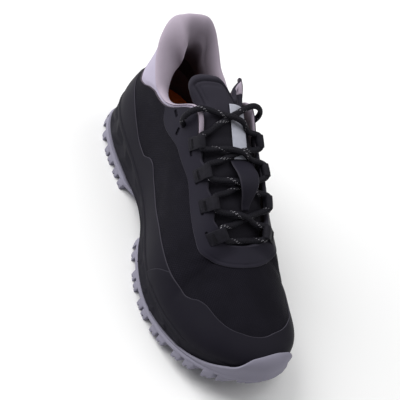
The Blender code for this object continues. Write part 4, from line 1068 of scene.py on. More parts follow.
def build_eyestay():
    """Make the film in a U round the throat, with a rolled lip and punched holes."""
    side = np.concatenate([np.linspace(0.2765, 0.30, 12), np.linspace(0.302, STAY_JOIN - 0.003, 100)])
    rows = edge_steps(20.0, 18)
    parts = [stay_side(side, rows), stay_front(rows), stay_side(2.0 - side[::-1], rows)]
    base, normal, depth, lips, seat, roll = (np.concatenate(column) for column in zip(*parts))
    gap = depth[:, -1:] - depth
    groove = np.zeros(len(base))
    groove[len(side):-len(side)] = np.sin(np.linspace(0.0, math.pi, len(base) - 2 * len(side))) ** 0.7
    lift = FILM_UNDER + FILM_EDGE + (FILM_LIFT - FILM_UNDER) * rounded(gap, FILM_ROUND)
    lift = lift - GROOVE_DEPTH * groove[:, None] * np.exp(-((gap - GROOVE_IN) / GROOVE_WIDE) ** 2)
    lip_lift = roll * STAY_LIP[:, 1] + (1.0 - roll) * FLAT_LIP
    first = normal[:, :1]
    outer = np.concatenate([lips + first * lip_lift[..., None], base + normal * lift[..., None]], 1)
    low = np.minimum(lip_lift, FILM_UNDER)
    under = np.concatenate([seat + first * low[..., None], base + normal * FILM_UNDER], 1)
    # closest sets the painted highlight along the eyestay's edges, and partly over its rolled lip
    closest = np.concatenate([np.full(lip_lift.shape, 0.4), np.minimum(gap, depth + 0.4)], 1)
    build = Build()
    build.slab(outer, under, edge=1.0 - smoothstep(*FILM_HIGHLIGHT_FADE, closest))
    # The second material is the painted hole shadow, for the walls that the cutters punch
    piece = build.object("eyestay_film", [STAY_SKIN, HOLE_SHADOW])
    cutter = eyestay_cutters()
    punch = piece.modifiers.new("Punch", "BOOLEAN")
    punch.operation = "DIFFERENCE"
    punch.solver = "EXACT"
    punch.object = cutter
    made = bpy.data.meshes.new_from_object(piece.evaluated_get(bpy.context.evaluated_depsgraph_get()))
    piece.modifiers.clear()
    piece.data = made
    bpy.data.objects.remove(cutter)
    return settle(piece, "overlay_film", "eyestay")


# Collar
# Depth of the seam between the roll and the outer panel, by share of a side
ROLL_SEAM = {0.000: 4.0, 0.140: 3.0, 0.200: 2.6, 0.232: 2.9, 0.260: 3.0, 0.420: 2.2}
CUFF_END = 0.425
# Inward swell of the padding by signed share of a side (lateral above zero),
# and the depth of its fullest part
PAD_SWELL = {
    -0.425: 2.4, -0.339: 3.4, -0.300: 4.8, -0.247: 6.6, -0.205: 8.4, -0.175: 9.6, -0.130: 11.5, -0.080: 12.0,
    -0.030: 10.8, 0.005: 12.4, 0.045: 18.5, 0.085: 21.8, 0.110: 22.2, 0.130: 22.0, 0.160: 20.0, 0.187: 17.5,
    0.220: 14.0, 0.250: 10.6, 0.280: 7.6, 0.310: 6.2, 0.339: 6.4, 0.370: 8.0, 0.425: 7.4}
PAD_DEPTH = {
    0.000: 18.0, 0.060: 15.0, 0.130: 14.0, 0.175: 11.5, 0.205: 9.0, 0.250: 6.0, 0.290: 3.8, 0.425: 3.2}
# Outward and upward shift of the cuff's rim against the wall's topline
RIM_OUT = {
    -0.425: 0.0, -0.320: 0.5, -0.285: 2.4, -0.250: 3.0, -0.215: 1.8, -0.180: 0.8, -0.140: 2.0, -0.110: 4.2,
    -0.085: 5.0, -0.050: 2.4, 0.000: 0.0, 0.045: 1.2, 0.085: 2.0, 0.120: 0.8, 0.150: 0.0, 0.425: 0.0}
RIM_UP = {
    -0.425: 0.0, -0.320: 0.8, -0.285: 3.2, -0.250: 5.0, -0.215: 3.6, -0.180: 1.0, -0.140: 0.6, -0.085: 2.6,
    -0.040: 2.5, 0.000: 3.0, 0.040: 0.3, 0.080: 1.1, 0.115: 0.6, 0.150: 0.0, 0.225: 0.2, 0.260: 1.2,
    0.330: 1.2, 0.370: 0.8, 0.425: 0.6}
# Rows of the cuff's section: under its lower edge (depth past the edge, lift)
# and through the seam under the roll (depth past the seam, lift from the panel)
CUFF_TUCK = np.array([(1.6, -1.3), (0.2, -1.1), (-0.5, -0.95)])
CUFF_SEAM = np.array([(0.45, -0.25), (0.0, -0.95), (-0.25, 0.15)])
PANEL_SWELL = 1.3
PANEL_SINK = 0.9
DEEP_CUFF = 30.0
# How deep the lining hangs inside, and how much more where the cuff is deep
LINING_HANG = 12.0
LINING_MORE = 28.0
# Rows of the crown, and of the inside before its lining starts
CROWN_ROWS = 25
INNER_ROWS = 12
roll_seam = eased(ROLL_SEAM)
pad_swell = eased(PAD_SWELL)
pad_depth = eased(PAD_DEPTH)
rim_out = eased(RIM_OUT)
rim_up = eased(RIM_UP)


def cuff_section(at):
    """Return one ring of the cuff, how much painted shade each point takes, and its first roll and lining
    rows.
    """
    along = abs(at)
    length = float(wall_length(at))
    depth = float(cuff_depth(along))
    full = float(pad_swell(at))
    peak = float(pad_depth(along))
    seam = min(float(roll_seam(along)), 0.7 * depth)
    fade = min(1.0, depth / DEEP_CUFF)
    panel = np.linspace(depth - 0.5, min(seam + 1.0, depth - 0.6), 15)[1:]
    outer_depth = np.concatenate([depth + CUFF_TUCK[:, 0], panel, seam + CUFF_SEAM[:, 0]])
    swell = np.sin(np.pi * np.clip((depth - panel) / depth, 0.0, 1.0)) ** 0.8 * PANEL_SWELL * fade
    panel_lift = -PANEL_SINK + (PANEL_SINK + swell) * smoothstep(0.0, 5.0, depth - panel)
    lift = np.concatenate([CUFF_TUCK[:, 1], panel_lift, panel_lift[-1] + CUFF_SEAM[:, 1]])
    outer = skin(at, np.minimum(1.0 - outer_depth / length, 1.0), lift)
    span = LINING_HANG + LINING_MORE * fade
    inner_depth = np.linspace(peak, peak + span, 18)
    taper = 1.0 - smoothstep(0.0, 0.9 * span, inner_depth - peak)
    inner_lift = -(WALL + 0.5) - (full - WALL - 0.5) * taper
    inner = skin(at, np.maximum(1.0 - inner_depth / length, 0.06), inner_lift)
    up = rim_rise(at)
    inward = -wall_normals(at, 1.0)
    a, b = outer[-1], inner[0]
    bulge = a - inward * (0.8 + 0.08 * full) + up * (0.6 + 0.06 * full)
    first = a + inward * 0.05 * full + up * (0.9 + 0.28 * full)
    second = a + inward * 0.55 * full + up * (0.8 + 0.24 * full)
    corner = b + up * (0.55 * max(peak - seam, 0.0) + 0.14 * full)
    steps = np.linspace(0.0, 1.0, CROWN_ROWS + 2)[1:-1, None]
    crown = bezier_path([a, bulge, first, second, corner, b], steps)
    back_depth = np.array([max(peak + span, depth + 12.0), depth + 8.0, depth + 2.4])
    back = skin(at, np.maximum(1.0 - back_depth / length, 0.05), np.array([-1.95, -1.9, -1.9]))
    ring = np.concatenate([outer, crown, inner, back])
    drop = np.concatenate([outer_depth, np.zeros(len(crown)), inner_depth, back_depth])
    near = 1.0 - smoothstep(2.0, 18.0, drop)
    shift = float(rim_out(at)) * -inward * (1.0, 1.0, 0.0) + (0.0, 0.0, float(rim_up(at)))
    # Painted shade: the medial crown darkens as it turns in, and the inside darkens with depth, fully on the
    # back rows
    shade = 0.6 * (1.0 - float(smoothstep(0.0, 0.08, at)))
    crown_shade = shade * smoothstep(0.3, 1.0, np.linspace(0.0, 1.0, len(crown)))
    deep = shade + (1.0 - shade) * smoothstep(0.0, 24.0 - 14.0 * shade, inner_depth - peak)
    inside = np.concatenate([np.zeros(len(outer)), crown_shade, deep, np.ones(len(back))])
    return ring + near[:, None] * shift, inside, len(outer) - 2, len(outer) + len(crown) + INNER_ROWS


def build_cuff():
    """Make the padded cuff: an outer panel, a roll over the rim and a lining inside."""
    half = np.linspace(0.0, CUFF_END, 110)
    at = np.concatenate([-half[:0:-1], half])
    sections = [cuff_section(a) for a in at]
    rings = np.stack([section[0] for section in sections])
    seam_row, inner_row = sections[0][2:]
    uv = measured_uv(np.concatenate([rings, rings[:, :1]], axis=1))
    build = Build()
    # The edge attribute here carries the cuff's painted shade
    index = build.points(rings, np.stack([section[1] for section in sections])).reshape(rings.shape[:2])
    wrapped = np.concatenate([index, index[:, :1]], axis=1)
    stops = (0, seam_row, inner_row, wrapped.shape[1] - 1)
    for slot, (first, last) in enumerate(zip(stops, stops[1:])):
        build.quads(wrapped[:, first:last + 1], uv[:, first:last + 1], slot=slot)
    build.fan(index[0], 1, flip=True)
    build.fan(index[-1], 1)
    piece = build.object("collar_padding", [PANEL, ROLL, SHADED_LINING], 70.0)
    return settle(piece, "collar_lining", "collar_cuff")


# Sole
BAND_BULGE = 1.6
BALL_SWELL = 2.6
FILL_LANES = 9


def ground_z(x):
    """Return the height of the tread's face over the floor."""
    x = np.asarray(x, float)
    back = np.maximum(HEEL_BEVEL_X - x, 0.0) / HEEL_BEVEL_X
    arch = between(92.0, 126.0, 130.0, 164.0, x)
    return HEEL_BEVEL_RISE * back ** 2 + ARCH_LIFT * arch + toe_spring(x)


def outsole_top(x):
    return ground_z(x) + LUG_HEIGHT + SHEET


def waist_inset(at):
    return WAIST_INSET * between(0.31, 0.40, 0.43, 0.51, along_of(at))


def heel_part(at):
    return between(0.04, 0.12, 0.30, 0.35, along_of(at))


def ball_part(at):
    return between(0.45, 0.55, 0.80, 0.94, along_of(at))


def band_bulge(at):
    """Return how far the band swells past the outline beside the tread."""
    return BAND_BULGE * (heel_part(at) + ball_part(at))


def ring_points(at, inset, height):
    """Return a ring inside the outline at a height worked out from x."""
    xy = inset_outline(at, inset)
    return np.concatenate([xy, height(xy[:, 0])[:, None]], axis=1)


def strip_fill(build, ring, flip=False):
    """Fill a ring of points with strips from the lateral to the medial side."""
    half = len(ring) // 2
    share = np.linspace(0.0, 1.0, FILL_LANES)[None, :, None]
    mirror = ring[-np.arange(half + 1)]
    points = ring[:half + 1, None, :] * (1.0 - share) + mirror[:, None, :] * share
    build.grid(points, flip=flip)


def ring_body(rings):
    """Return a closed body over rings, filled under its first and inside its last."""
    stack = np.stack(rings, axis=1)
    build = Build()
    build.grid(stack, closed=True)
    strip_fill(build, stack[:, 0], flip=True)
    strip_fill(build, stack[:, -1])
    return build


# Clearances of the midsole: inside the bumper, over the outsole, under the upper
MIDSOLE_CLEAR = 0.6
MIDSOLE_OVER = 0.35
MIDSOLE_UNDER = 0.15
FACET_PITCH = 0.078
FACET_DEPTH = 2.2
STUD_HEIGHT = 0.9
STUD_HALF = 4.6
# Lip along the midsole's top edge: level up its side, inset
MIDSOLE_LIP = [(0.825, 1.15), (0.845, 0.55), (0.87, 0.3), (0.94, 0.35), (0.975, 0.65), (0.995, 1.1)]
Stud = namedtuple("Stud", "along level")
STUDS = [Stud(0.640, 0.36), Stud(0.690, 0.30), Stud(0.740, 0.36), Stud(0.790, 0.32), Stud(0.560, 0.34)]


def facets(at, level):
    """Return the depth of the sidewall's slanted facets, deepest at the heel."""
    along = along_of(at)
    lean = np.abs(level - 0.52) * 0.9
    wave_share = np.mod(along / FACET_PITCH + lean, 1.0)
    strength = 1.0 - 0.62 * smoothstep(0.22, 0.42, along)
    ease = between(0.16, 0.30, 0.74, 0.82, level)
    return FACET_DEPTH * strength * ease * np.abs(2.0 * wave_share - 1.0) ** 0.9


def studs(at, level):
    """Return the height of the small moulded studs along the forefoot."""
    along = along_of(at)
    total = np.zeros(np.broadcast(at, level).shape)
    for row in STUDS:
        dx = np.abs(along - row.along) * SIDE_MM / STUD_HALF
        dy = np.abs(level - row.level) / 0.15
        total = np.maximum(total, 1.0 - smoothstep(0.72, 1.0, dx + 0.8 * dy))
    return STUD_HEIGHT * total


def behind_bumper(at, inset, share):
    """Ease an inset of the midsole to the inside of the toe bumper."""
    low = BUMPER_WALL + MIDSOLE_CLEAR
    high = TOE_FEATHER_INSET - BUMPER_CLEAR + MIDSOLE_CLEAR
    hidden = smoothstep(0.775, 0.845, along_of(at))
    return inset * (1.0 - hidden) + np.maximum(inset, low + (high - low) * share) * hidden


def recess(x):
    """Return the height of the floor of the midsole's recess, deeper at the heel."""
    return feather_z(x) - RECESS_DEPTH - RECESS_HEEL * (1.0 - smoothstep(60.0, 150.0, x))


def build_midsole():
    """Make the foam carrier: a tucked foot, a facetted side, a lip and the foot-bed's recess."""
    at = np.linspace(0.0, 2.0, 641)[:-1]
    base = BUMPER_WALL + MIDSOLE_CLEAR
    tuck = base + 1.3 * waist_inset(at)

    def side(share):
        def height(x):
            low = outsole_top(x) + MIDSOLE_OVER
            return low + (feather_z(x) - MIDSOLE_UNDER - low) * share
        return height

    swell = heel_part(at) + BALL_SWELL * between(0.45, 0.55, 0.66, 0.78, along_of(at))
    rings = [ring_points(at, behind_bumper(at, tuck, 0.0), side(0.0))]
    rings.append(ring_points(at, behind_bumper(at, np.maximum(base, 0.45 * tuck), 0.14), side(0.14)))
    for level in np.concatenate([[0.17], np.linspace(0.20, 0.80, 19)]):
        inset = 0.5 + 0.5 * level + facets(at, level) - studs(at, level)
        inset = inset - swell * (1.0 - level) ** 1.6
        rings.append(ring_points(at, behind_bumper(at, inset, level), side(level)))
    for level, inset in MIDSOLE_LIP:
        rings.append(ring_points(at, behind_bumper(at, inset, level), side(level)))
    rings.append(ring_points(at, 1.6 + 3.0 * toe_share(at), side(1.0)))
    rings.append(ring_points(at, RECESS_INSET - 0.6, side(1.0)))
    rings.append(ring_points(at, RECESS_INSET, recess))
    piece = ring_body(rings).object("midsole_moulding", [MIDSOLE_FOAM], 28.0)
    return settle(piece, "midsole_foam", "midsole")


# Rings of the foot-bed: inset past its lap, height over the feather line and
# how much of the heel's cup each takes
BED_RINGS = [(0.9, 0.25, 0.0), (0.0, 1.6, 3.0), (0.5, 2.2, 3.0), (4.0, 1.5, 0.8), (10.0, 1.0, 0.0)]
BED_CORE = RECESS_INSET + 0.5
BED_CLEAR = 0.3
BED_LAP = 0.9


def build_insole():
    """Make a cupped foot-bed: it fills the midsole's recess and laps over its rim."""
    at = np.linspace(0.0, 2.0, 241)[:-1]
    lap = feather_inset(at) + WALL + BED_LAP
    cup = 1.0 - smoothstep(0.40, 0.60, along_of(at))

    def over(height):
        return lambda x: feather_z(x) + height

    rings = [ring_points(at, BED_CORE, lambda x: recess(x) + BED_CLEAR)]
    rings.append(ring_points(at, BED_CORE, over(0.25)))
    for inset, height, cup_rise in BED_RINGS:
        ring = ring_points(at, lap + inset, over(height))
        ring[:, 2] += cup_rise * cup
        rings.append(ring)
    piece = ring_body(rings).object("footbed", [FOOTBED], 50.0)
    return settle(piece, "insole_foam", "insole")


# Rows of tread by share of a side, half a row's run, a wide lug at each end and
# the lanes across the sole, each from one share to the next
LUG_STATIONS = (
    0.076, 0.106, 0.153, 0.2025, 0.232, 0.272, 0.307, 0.490, 0.525, 0.582, 0.611, 0.658, 0.685, 0.7305, 0.759,
    0.808, 0.840, 0.884, 0.9156)
LUG_HALF = 0.0122
END_LUGS = ((0.006, 0.046), (0.948, 0.990))
LANES = (0.0, 0.23, 0.29, 0.47, 0.53, 0.71, 0.77, 1.0)
LUG_FLARE = 2.9
# Rings of a lug from its root to its face: level, size and flare. An outer lug
# starts higher, on the band. Two pads, parted by a sipe, stand on each body
INNER_ROOT = [(1.12, 1.0, 0.0)]
OUTER_ROOT = [(1.42, 1.00, 1.0), (1.36, 1.00, 1.4), (1.05, 0.98, 2.0)]
LUG_BODY = [(0.75, 0.95, 2.6), (0.45, 0.91, LUG_FLARE), (0.40, 0.89, LUG_FLARE)]
LUG_PAD = [(0.5, 1.0, 2.7), (0.10, 0.94, LUG_FLARE), (0.02, 0.90, LUG_FLARE), (0.0, 0.82, 2.6)]
PAD_SPANS = ((0.06, 0.455), (0.545, 0.94))
# Rings of the band beside the tread: inset from the outline, share of the
# band's bulge, and height over the lugs' root
BAND_RINGS = [(0.8, 1.0, 0.0), (0.1, 1.0, 0.35), (-0.3, 1.0, 1.4), (-0.25, 0.9, 2.6), (-0.15, 0.55, 3.3),
              (-0.05, 0.2, 3.8)]


def cup_edge(at, rise, wall):
    """Return points on the cup's edge: beside the midsole, then over the upper's wall."""
    floor_xy = inset_outline(at, waist_inset(at) + BUMPER_WALL)
    floor = outsole_top(floor_xy[:, 0])
    foot_xy = inset_outline(at, feather_inset(at))
    foot_z = feather_z(foot_xy[:, 0])
    share = np.clip(rise / (foot_z - floor), 0.0, 1.0)
    clear = TOE_FEATHER_INSET - BUMPER_CLEAR
    inset = waist_inset(at) + BUMPER_WALL + (clear - BUMPER_WALL) * share - wall
    beside = np.concatenate([inset_outline(at, inset), (floor + rise)[:, None]], axis=1)
    above = np.maximum(floor + rise - foot_z, 0.0)
    reach = above / wall_length(at)
    over = wall_points(at, reach) + wall_normals(at, reach) * (BUMPER_CLEAR + wall)
    blend = smoothstep(-1.5, 1.5, floor + rise - foot_z)[:, None]
    return beside * (1.0 - blend) + over * blend


def add_lug(build, s0, s1, t0, t1):
    """Add one block of tread, split across its face by a sipe; outer blocks slope out from the band."""
    along, over = squared_circle(40, 0.16)

    def block(a0, a1, levels):
        rings = []
        for level, grow, flare in levels:
            s = s0 + (s1 - s0) * (a0 + (a1 - a0) * (0.5 + 0.5 * along * grow))
            t = t0 + (t1 - t0) * (0.5 + 0.49 * over)
            reach = flare * (1.0 - smoothstep(0.86, 0.95, s)) - 3.0 * smoothstep(0.9, 0.96, s)
            lateral = inset_outline(s, waist_inset(s) - reach * (t0 == 0.0))
            medial = inset_outline(2.0 - s, waist_inset(s) - reach * (t1 == 1.0))
            xy = lateral * (1.0 - t)[:, None] + medial * t[:, None]
            rings.append(np.concatenate([xy, (ground_z(xy[:, 0]) + LUG_HEIGHT * level)[:, None]], axis=1))
        rings = np.stack(rings)
        build.tube(rings, measured_uv(np.concatenate([rings, rings[:, :1]], axis=1)))

    root = OUTER_ROOT if t0 == 0.0 or t1 == 1.0 else INNER_ROOT
    block(0.0, 1.0, root + LUG_BODY)
    for a0, a1 in PAD_SPANS:
        block(a0, a1, LUG_PAD)


def build_outsole():
    """Make the rubber cup with its toe bumper, and the tread under it."""
    at = np.linspace(0.0, 2.0, 561)[:-1]
    inset = waist_inset(at)
    bulge = band_bulge(at)
    rise = bumper_line(at)

    def band(height):
        return lambda x: ground_z(x) + LUG_HEIGHT + height

    rings = []
    for more, share, height in BAND_RINGS:
        rings.append(ring_points(at, inset + more - share * bulge, band(height)))
    for part_rise in (0.12, 0.25, 0.4, 0.55, 0.7, 0.85, 0.95):
        rings.append(cup_edge(at, part_rise * rise, BUMPER_WALL))
    rings.append(cup_edge(at, rise, BUMPER_WALL - 0.35))
    rings.append(cup_edge(at, rise + 0.15, 0.5 * BUMPER_WALL))
    rings.append(cup_edge(at, rise, 0.3))
    for part_rise in (0.9, 0.6, 0.3):
        rings.append(cup_edge(at, part_rise * rise, 0.0))
    rings.append(ring_points(at, inset + BUMPER_WALL, outsole_top))
    build = ring_body(rings)
    for s0, s1 in END_LUGS:
        add_lug(build, s0, s1, 0.0, 1.0)
    for station in LUG_STATIONS:
        for t0, t1 in zip(LANES[0::2], LANES[1::2]):
            add_lug(build, station - LUG_HALF, station + LUG_HALF, t0, t1)
    piece = build.object("outsole_rubber", [RUBBER], 38.0)
    return settle(piece, "outsole_rubber", "outsole")


# Tongue
TONGUE_ROWS = np.array([
    # x, lateral_y, medial_y, crown_z, drop, thick
    (60.0, -29.0, 27.2, 132.0, 7.0, 6.0),
    (85.0, -22.0, 27.7, 123.0, 8.5, 6.0),
    (97.0, -16.6, 27.7, 118.5, 9.0, 5.5),
    (108.0, -18.5, 28.8, 114.5, 10.5, 5.2),
    (122.0, -20.5, 30.5, 109.0, 12.0, 5.0),
    (149.0, -21.6, 32.0, 98.0, 12.2, 4.5),
    (174.0, -21.0, 30.0, 87.0, 9.5, 4.0),
    (190.0, -18.0, 26.0, 77.5, 7.0, 3.5),
    (200.0, -13.0, 21.0, 70.4, 3.0, 3.0),
    (207.0, -8.0, 16.0, 67.0, 1.0, 2.5),
])
tongue_columns = natural_cubic(TONGUE_ROWS[:, 0], TONGUE_ROWS[:, 1:])
# x of the tongue's free end by share across it, lateral to medial
TONGUE_TOP = {
    0.00: 91.0, 0.03: 84.5, 0.065: 79.0, 0.105: 76.4, 0.15: 74.8, 0.21: 73.9, 0.295: 73.6, 0.375: 73.9,
    0.47: 74.3, 0.55: 75.0, 0.61: 77.2, 0.65: 81.4, 0.69: 87.0, 0.735: 91.0, 0.79: 89.8, 0.825: 85.0,
    0.85: 81.2, 0.89: 79.2, 0.94: 77.6, 1.00: 75.4}
tongue_end = eased(TONGUE_TOP)
TONGUE_TILT = 0.40
TONGUE_WIDE = 48.0
QUILT_WIDE = 46.0
GUSSET = 0.16
# The medial wing curls up from this share across; pale lining shows on it
# over a span across the tongue, from a hem to a foot
WING_START = 0.82
WING_CURL = 7.8
WING_LINING = (0.842, 0.952)
WING_HEM = 2.3
WING_FOOT = 88.5


# Stitched seams of the tongue: distance in from the rim, width, depth, and the
# distances from the free end over which they fade
Seam = namedtuple("Seam", "inset width depth fade")
RIM_SEAM = Seam(6.0, 0.8, 0.9, (36.0, 48.0))
PANEL_SEAM = Seam(9.0, 0.7, 0.6, (20.0, 26.0))


def tongue_point(x, across, offset=0.0):
    """Return points over the tongue by x and share across it."""
    x, across = matched(x, across)
    lateral, medial, crown, drop = np.moveaxis(tongue_columns(x), -1, 0)[:4]
    side = 2.0 * across - 1.0
    y = lateral + (medial - lateral) * across
    z = crown - drop * np.abs(side) ** 3
    curl = WING_CURL * (1.0 - smoothstep(82.0, 98.0, x))
    turn = np.clip((across - WING_START) / (1.0 - WING_START), 0.0, 1.0)
    z = z + curl * turn ** 2 * (3.0 - 2.0 * turn)
    slope = 6.0 * drop * np.abs(side) * side / (medial - lateral)
    slope = slope - curl * 6.0 * turn * (1.0 - turn) / (1.0 - WING_START) / (medial - lateral)
    norm = np.sqrt(1.0 + slope ** 2 + TONGUE_TILT ** 2)
    return np.stack([x + offset * TONGUE_TILT / norm, y + offset * slope / norm, z + offset / norm], axis=-1)


def tongue_across(x, y):
    lateral, medial = np.moveaxis(tongue_columns(x), -1, 0)[:2]
    return (y - lateral) / (medial - lateral)


def tongue_relief(x, across, back):
    """Return the padded relief: a stitched rim, a wing panel and soft cross folds."""
    near = np.minimum(back, np.clip(np.minimum(across, 1.0 - across), 0.0, 1.0) * QUILT_WIDE)

    def groove(seam):
        fade = 1.0 - smoothstep(*seam.fade, back)
        return -seam.depth * np.exp(-((near - seam.inset) / seam.width) ** 2) * fade

    puff = 0.7 * between(0.0, 3.0, 4.2, 6.0, near)
    folds = 0.35 * np.sin(x * 0.55) * between(112.0, 125.0, 180.0, 195.0, x)
    return groove(RIM_SEAM) + groove(PANEL_SEAM) * smoothstep(0.62, 0.5, across) + puff + folds


def tongue_sheet(x, across, back, wide):
    """Return the rounding of the tongue's rim and the lift of its padded face."""
    side = np.minimum(across, 1.0 - across)[None, :] * TONGUE_WIDE
    pinch = rounded(np.minimum(np.maximum(back, 0.0), side), 3.0)
    half = 0.5 * tongue_columns(x)[..., -1]
    return pinch, tongue_relief(x, wide, back) * pinch - half * (1.0 - pinch)


def build_tongue():
    """Make the padded tongue, wider where its gusset runs under the eyestay."""
    across = edge_steps(50.0, 66)
    start = TONGUE_ROWS[-1, 0]
    step = edge_steps(120.0, 120, both=False)[::-1]
    end = tongue_end(across)
    x = start + (end - start)[None, :] * (1.0 - step)[:, None]
    wide = 0.5 + (across[None, :] - 0.5) * (1.0 + GUSSET * between(104.0, 122.0, 190.0, 204.0, x))
    pinch, lift = tongue_sheet(x, across, x - end[None, :], wide)
    thick = tongue_columns(x)[..., -1]
    under = tongue_point(x, wide, -thick + 0.5 * thick * (1.0 - pinch) - 0.02)
    build = Build()
    # The edge attribute paints shade on the tongue's face from x 96 mm on towards the throat, under the
    # laces; its underside takes the lining painted dark as shade
    build.slab(tongue_point(x, wide, lift), under, under_slot=1, edge=smoothstep(96.0, 122.0, x))
    add_wing_lining(build)
    piece = build.object("tongue_padding", [TONGUE_CLOTH, SHADED_LINING, ROLL], 60.0)
    return settle(piece, "tongue_fabric", "tongue")


def add_wing_lining(build):
    """Add the pale lining that shows on the curled medial wing."""
    share = np.linspace(0.0, 1.0, 25)
    span = WING_LINING[1] - WING_LINING[0]
    across = WING_LINING[0] + span * share
    top = tongue_end(across) + WING_HEM
    x = top[None, :] + (WING_FOOT - top)[None, :] * share[:, None]
    rim = np.minimum(share, 1.0 - share)
    near = np.minimum(rim[None, :] * TONGUE_WIDE * span, rim[:, None] * (WING_FOOT - top)[None, :])
    seat = tongue_sheet(x, across, x - tongue_end(across)[None, :], across[None, :])[1]
    face = tongue_point(x, across[None, :], seat + 0.5 * rounded(near, 1.2) - 0.1)
    build.slab(face, tongue_point(x, across[None, :], seat - 0.6), slot=2)


Strip = namedtuple("Strip", "x y width lift")
RIBBON_ROWS = [
    Strip(98.0, 17.4, 15.4, 0.0),
    Strip(112.0, 15.7, 14.6, 0.0),
    Strip(128.0, 13.8, 13.8, 0.0),
    Strip(141.0, 12.6, 13.2, 0.0),
]
KEEPER_ROWS = [
    Strip(142.0, 12.4, 20.5, 0.0),
    Strip(146.0, 12.1, 20.0, 2.0),
    Strip(151.0, 11.6, 18.6, 5.4),
    Strip(156.0, 10.9, 16.8, 7.8),
    Strip(165.0, 10.0, 13.5, 7.8),
    Strip(171.0, 9.5, 10.0, 4.4),
    Strip(175.0, 9.2, 8.0, 1.4),
    Strip(179.0, 9.0, 6.5, 0.0),
]


def build_strip(name, rows, thick, crown, material, slot, node):
    """Make a strip that lies along the tongue or bows over it."""
    table = natural_cubic([row.x for row in rows], [row[1:] for row in rows])
    x = np.linspace(rows[0].x, rows[-1].x, 60)
    y, width, lift = table(x).T
    lift = np.maximum(lift, 0.0)
    spread = np.linspace(-0.5, 0.5, 25)
    ends = np.minimum(x - x[0], x[-1] - x)[:, None]
    side = (0.5 - np.abs(spread))[None, :] * width[:, None]
    pinch = rounded(np.minimum(side, ends), 0.6)
    px = np.broadcast_to(x[:, None], side.shape)
    across = tongue_across(px, y[:, None] + spread[None, :] * width[:, None])
    seat = 0.6 + lift[:, None]
    bow = crown * (1.0 - (2.0 * spread[None, :]) ** 2)
    outer = tongue_point(px, across, seat + bow + thick * (0.5 + 0.5 * pinch))
    under = tongue_point(px, across, seat + bow + thick * (0.5 - 0.5 * pinch) - 0.01)
    build = Build()
    # The edge attribute paints a highlight along the strip's rim; only the keeper's film material shows it
    build.slab(outer, under, edge=1.0 - smoothstep(0.3, 1.2, np.minimum(side, ends + 1.0)))
    return settle(build.object(name, [material]), slot, node)


# Loops and laces
LOOP_WIDTH = 10.6
LOOP_WALL = 1.0
LOOP_PLAY = 0.2
# Share of the wall's length where a loop sits
LOOP_SEAT = 0.992
CORD_WIDE = 5.0
CORD_HIGH = 4.1
CORD_SIDES = 18
# Directions across a lace: the thin way of its crossed part, the wide way of an end
LACE_FACE = (0.36, 0.0, 0.93)
END_FACE = (0.9, 0.1, -0.35)
EYE_IN = 2.8
EYE_UP = 2.3
# A loop's line, inward and outward from its seat: out of its slot, and back
# under the edge after its nose
LOOP_TAIL = [
    (-SLOT_DEPTH - 0.5, -0.5), (-SLOT_DEPTH + 0.5, 0.9), (-SLOT_DEPTH + 2.4, 1.6), (-4.0, 2.6), (-0.6, 4.1)]
LOOP_BACK = [(1.0, -0.75), (-0.6, -2.6), (-3.0, -3.0)]
TACK_STITCHES = 9
TACK_PITCH = 0.85
TACK_LONG = 1.9
TACK_IN = -6.2


def loop_frame(at):
    """Return a loop's seat on the throat edge and its inward, toe-ward and outward directions."""
    seat, out, run = wall_frame(at, LOOP_SEAT)[:3]
    inward = np.cross(out, run)
    middle = np.array([seat[0], SPINE_Y, seat[2]]) - seat
    inward *= 1.0 if inward.dot(middle) > 0.0 else -1.0
    return seat, inward, run, out


def build_loop(name, at, node):
    """Make one webbing loop: out of its slot, round the lace and back under the edge."""
    seat, inward, run, out = loop_frame(at)
    radius = 0.5 * CORD_HIGH + LOOP_PLAY + 0.5 * LOOP_WALL
    turn = np.radians(np.linspace(100.0, -90.0, 15))
    nose = np.stack([EYE_IN + radius * np.cos(turn), EYE_UP + radius * np.sin(turn)], 1)
    line = smooth_path(np.concatenate([LOOP_TAIL, nose, LOOP_BACK]), 70)
    tangent = unit(np.gradient(line, axis=0))
    normal = np.stack([-tangent[:, 1], tangent[:, 0]], 1)
    spread = edge_steps(LOOP_WIDTH, 10, (0.0, 0.12, 0.3, 0.6)) - 0.5
    side = (0.5 - np.abs(spread)) * LOOP_WIDTH
    pinch = rounded(side, 0.45)
    curl = 0.25 * (2.0 * spread) ** 2
    sheets = []
    for sign in (0.5, -0.5):
        lift = sign * LOOP_WALL * (0.35 + 0.65 * pinch)[None, :] - curl[None, :]
        a = line[:, 0:1] + normal[:, 0:1] * lift
        b = line[:, 1:2] + normal[:, 1:2] * lift
        place = seat + a[..., None] * inward + b[..., None] * out
        sheets.append(place + (spread * LOOP_WIDTH)[None, :, None] * run)
    build = Build()
    build.slab(sheets[0], sheets[1])
    add_bar_tack(build, seat, inward, run, out)
    piece = build.object(name, [WEB, THREAD], 60.0)
    return settle(piece, "loop_webbing", node)


def add_bar_tack(build, seat, inward, run, out):
    """Add a short row of stitches across the loop above its slot."""
    s = np.linspace(0.0, TACK_LONG, 6)[:, None]
    line = inward * (TACK_IN + s) + out * (2.45 + 0.30 * s + 0.25 * np.sin(math.pi * s / TACK_LONG))
    for k in range(TACK_STITCHES):
        along = (k - 0.5 * (TACK_STITCHES - 1)) * TACK_PITCH
        path = seat + line + run * (along + 0.12 * s)
        rings, uv = cord_rings(path, 0.55, 0.45, 6, run)
        build.tube(rings, uv, slot=1)


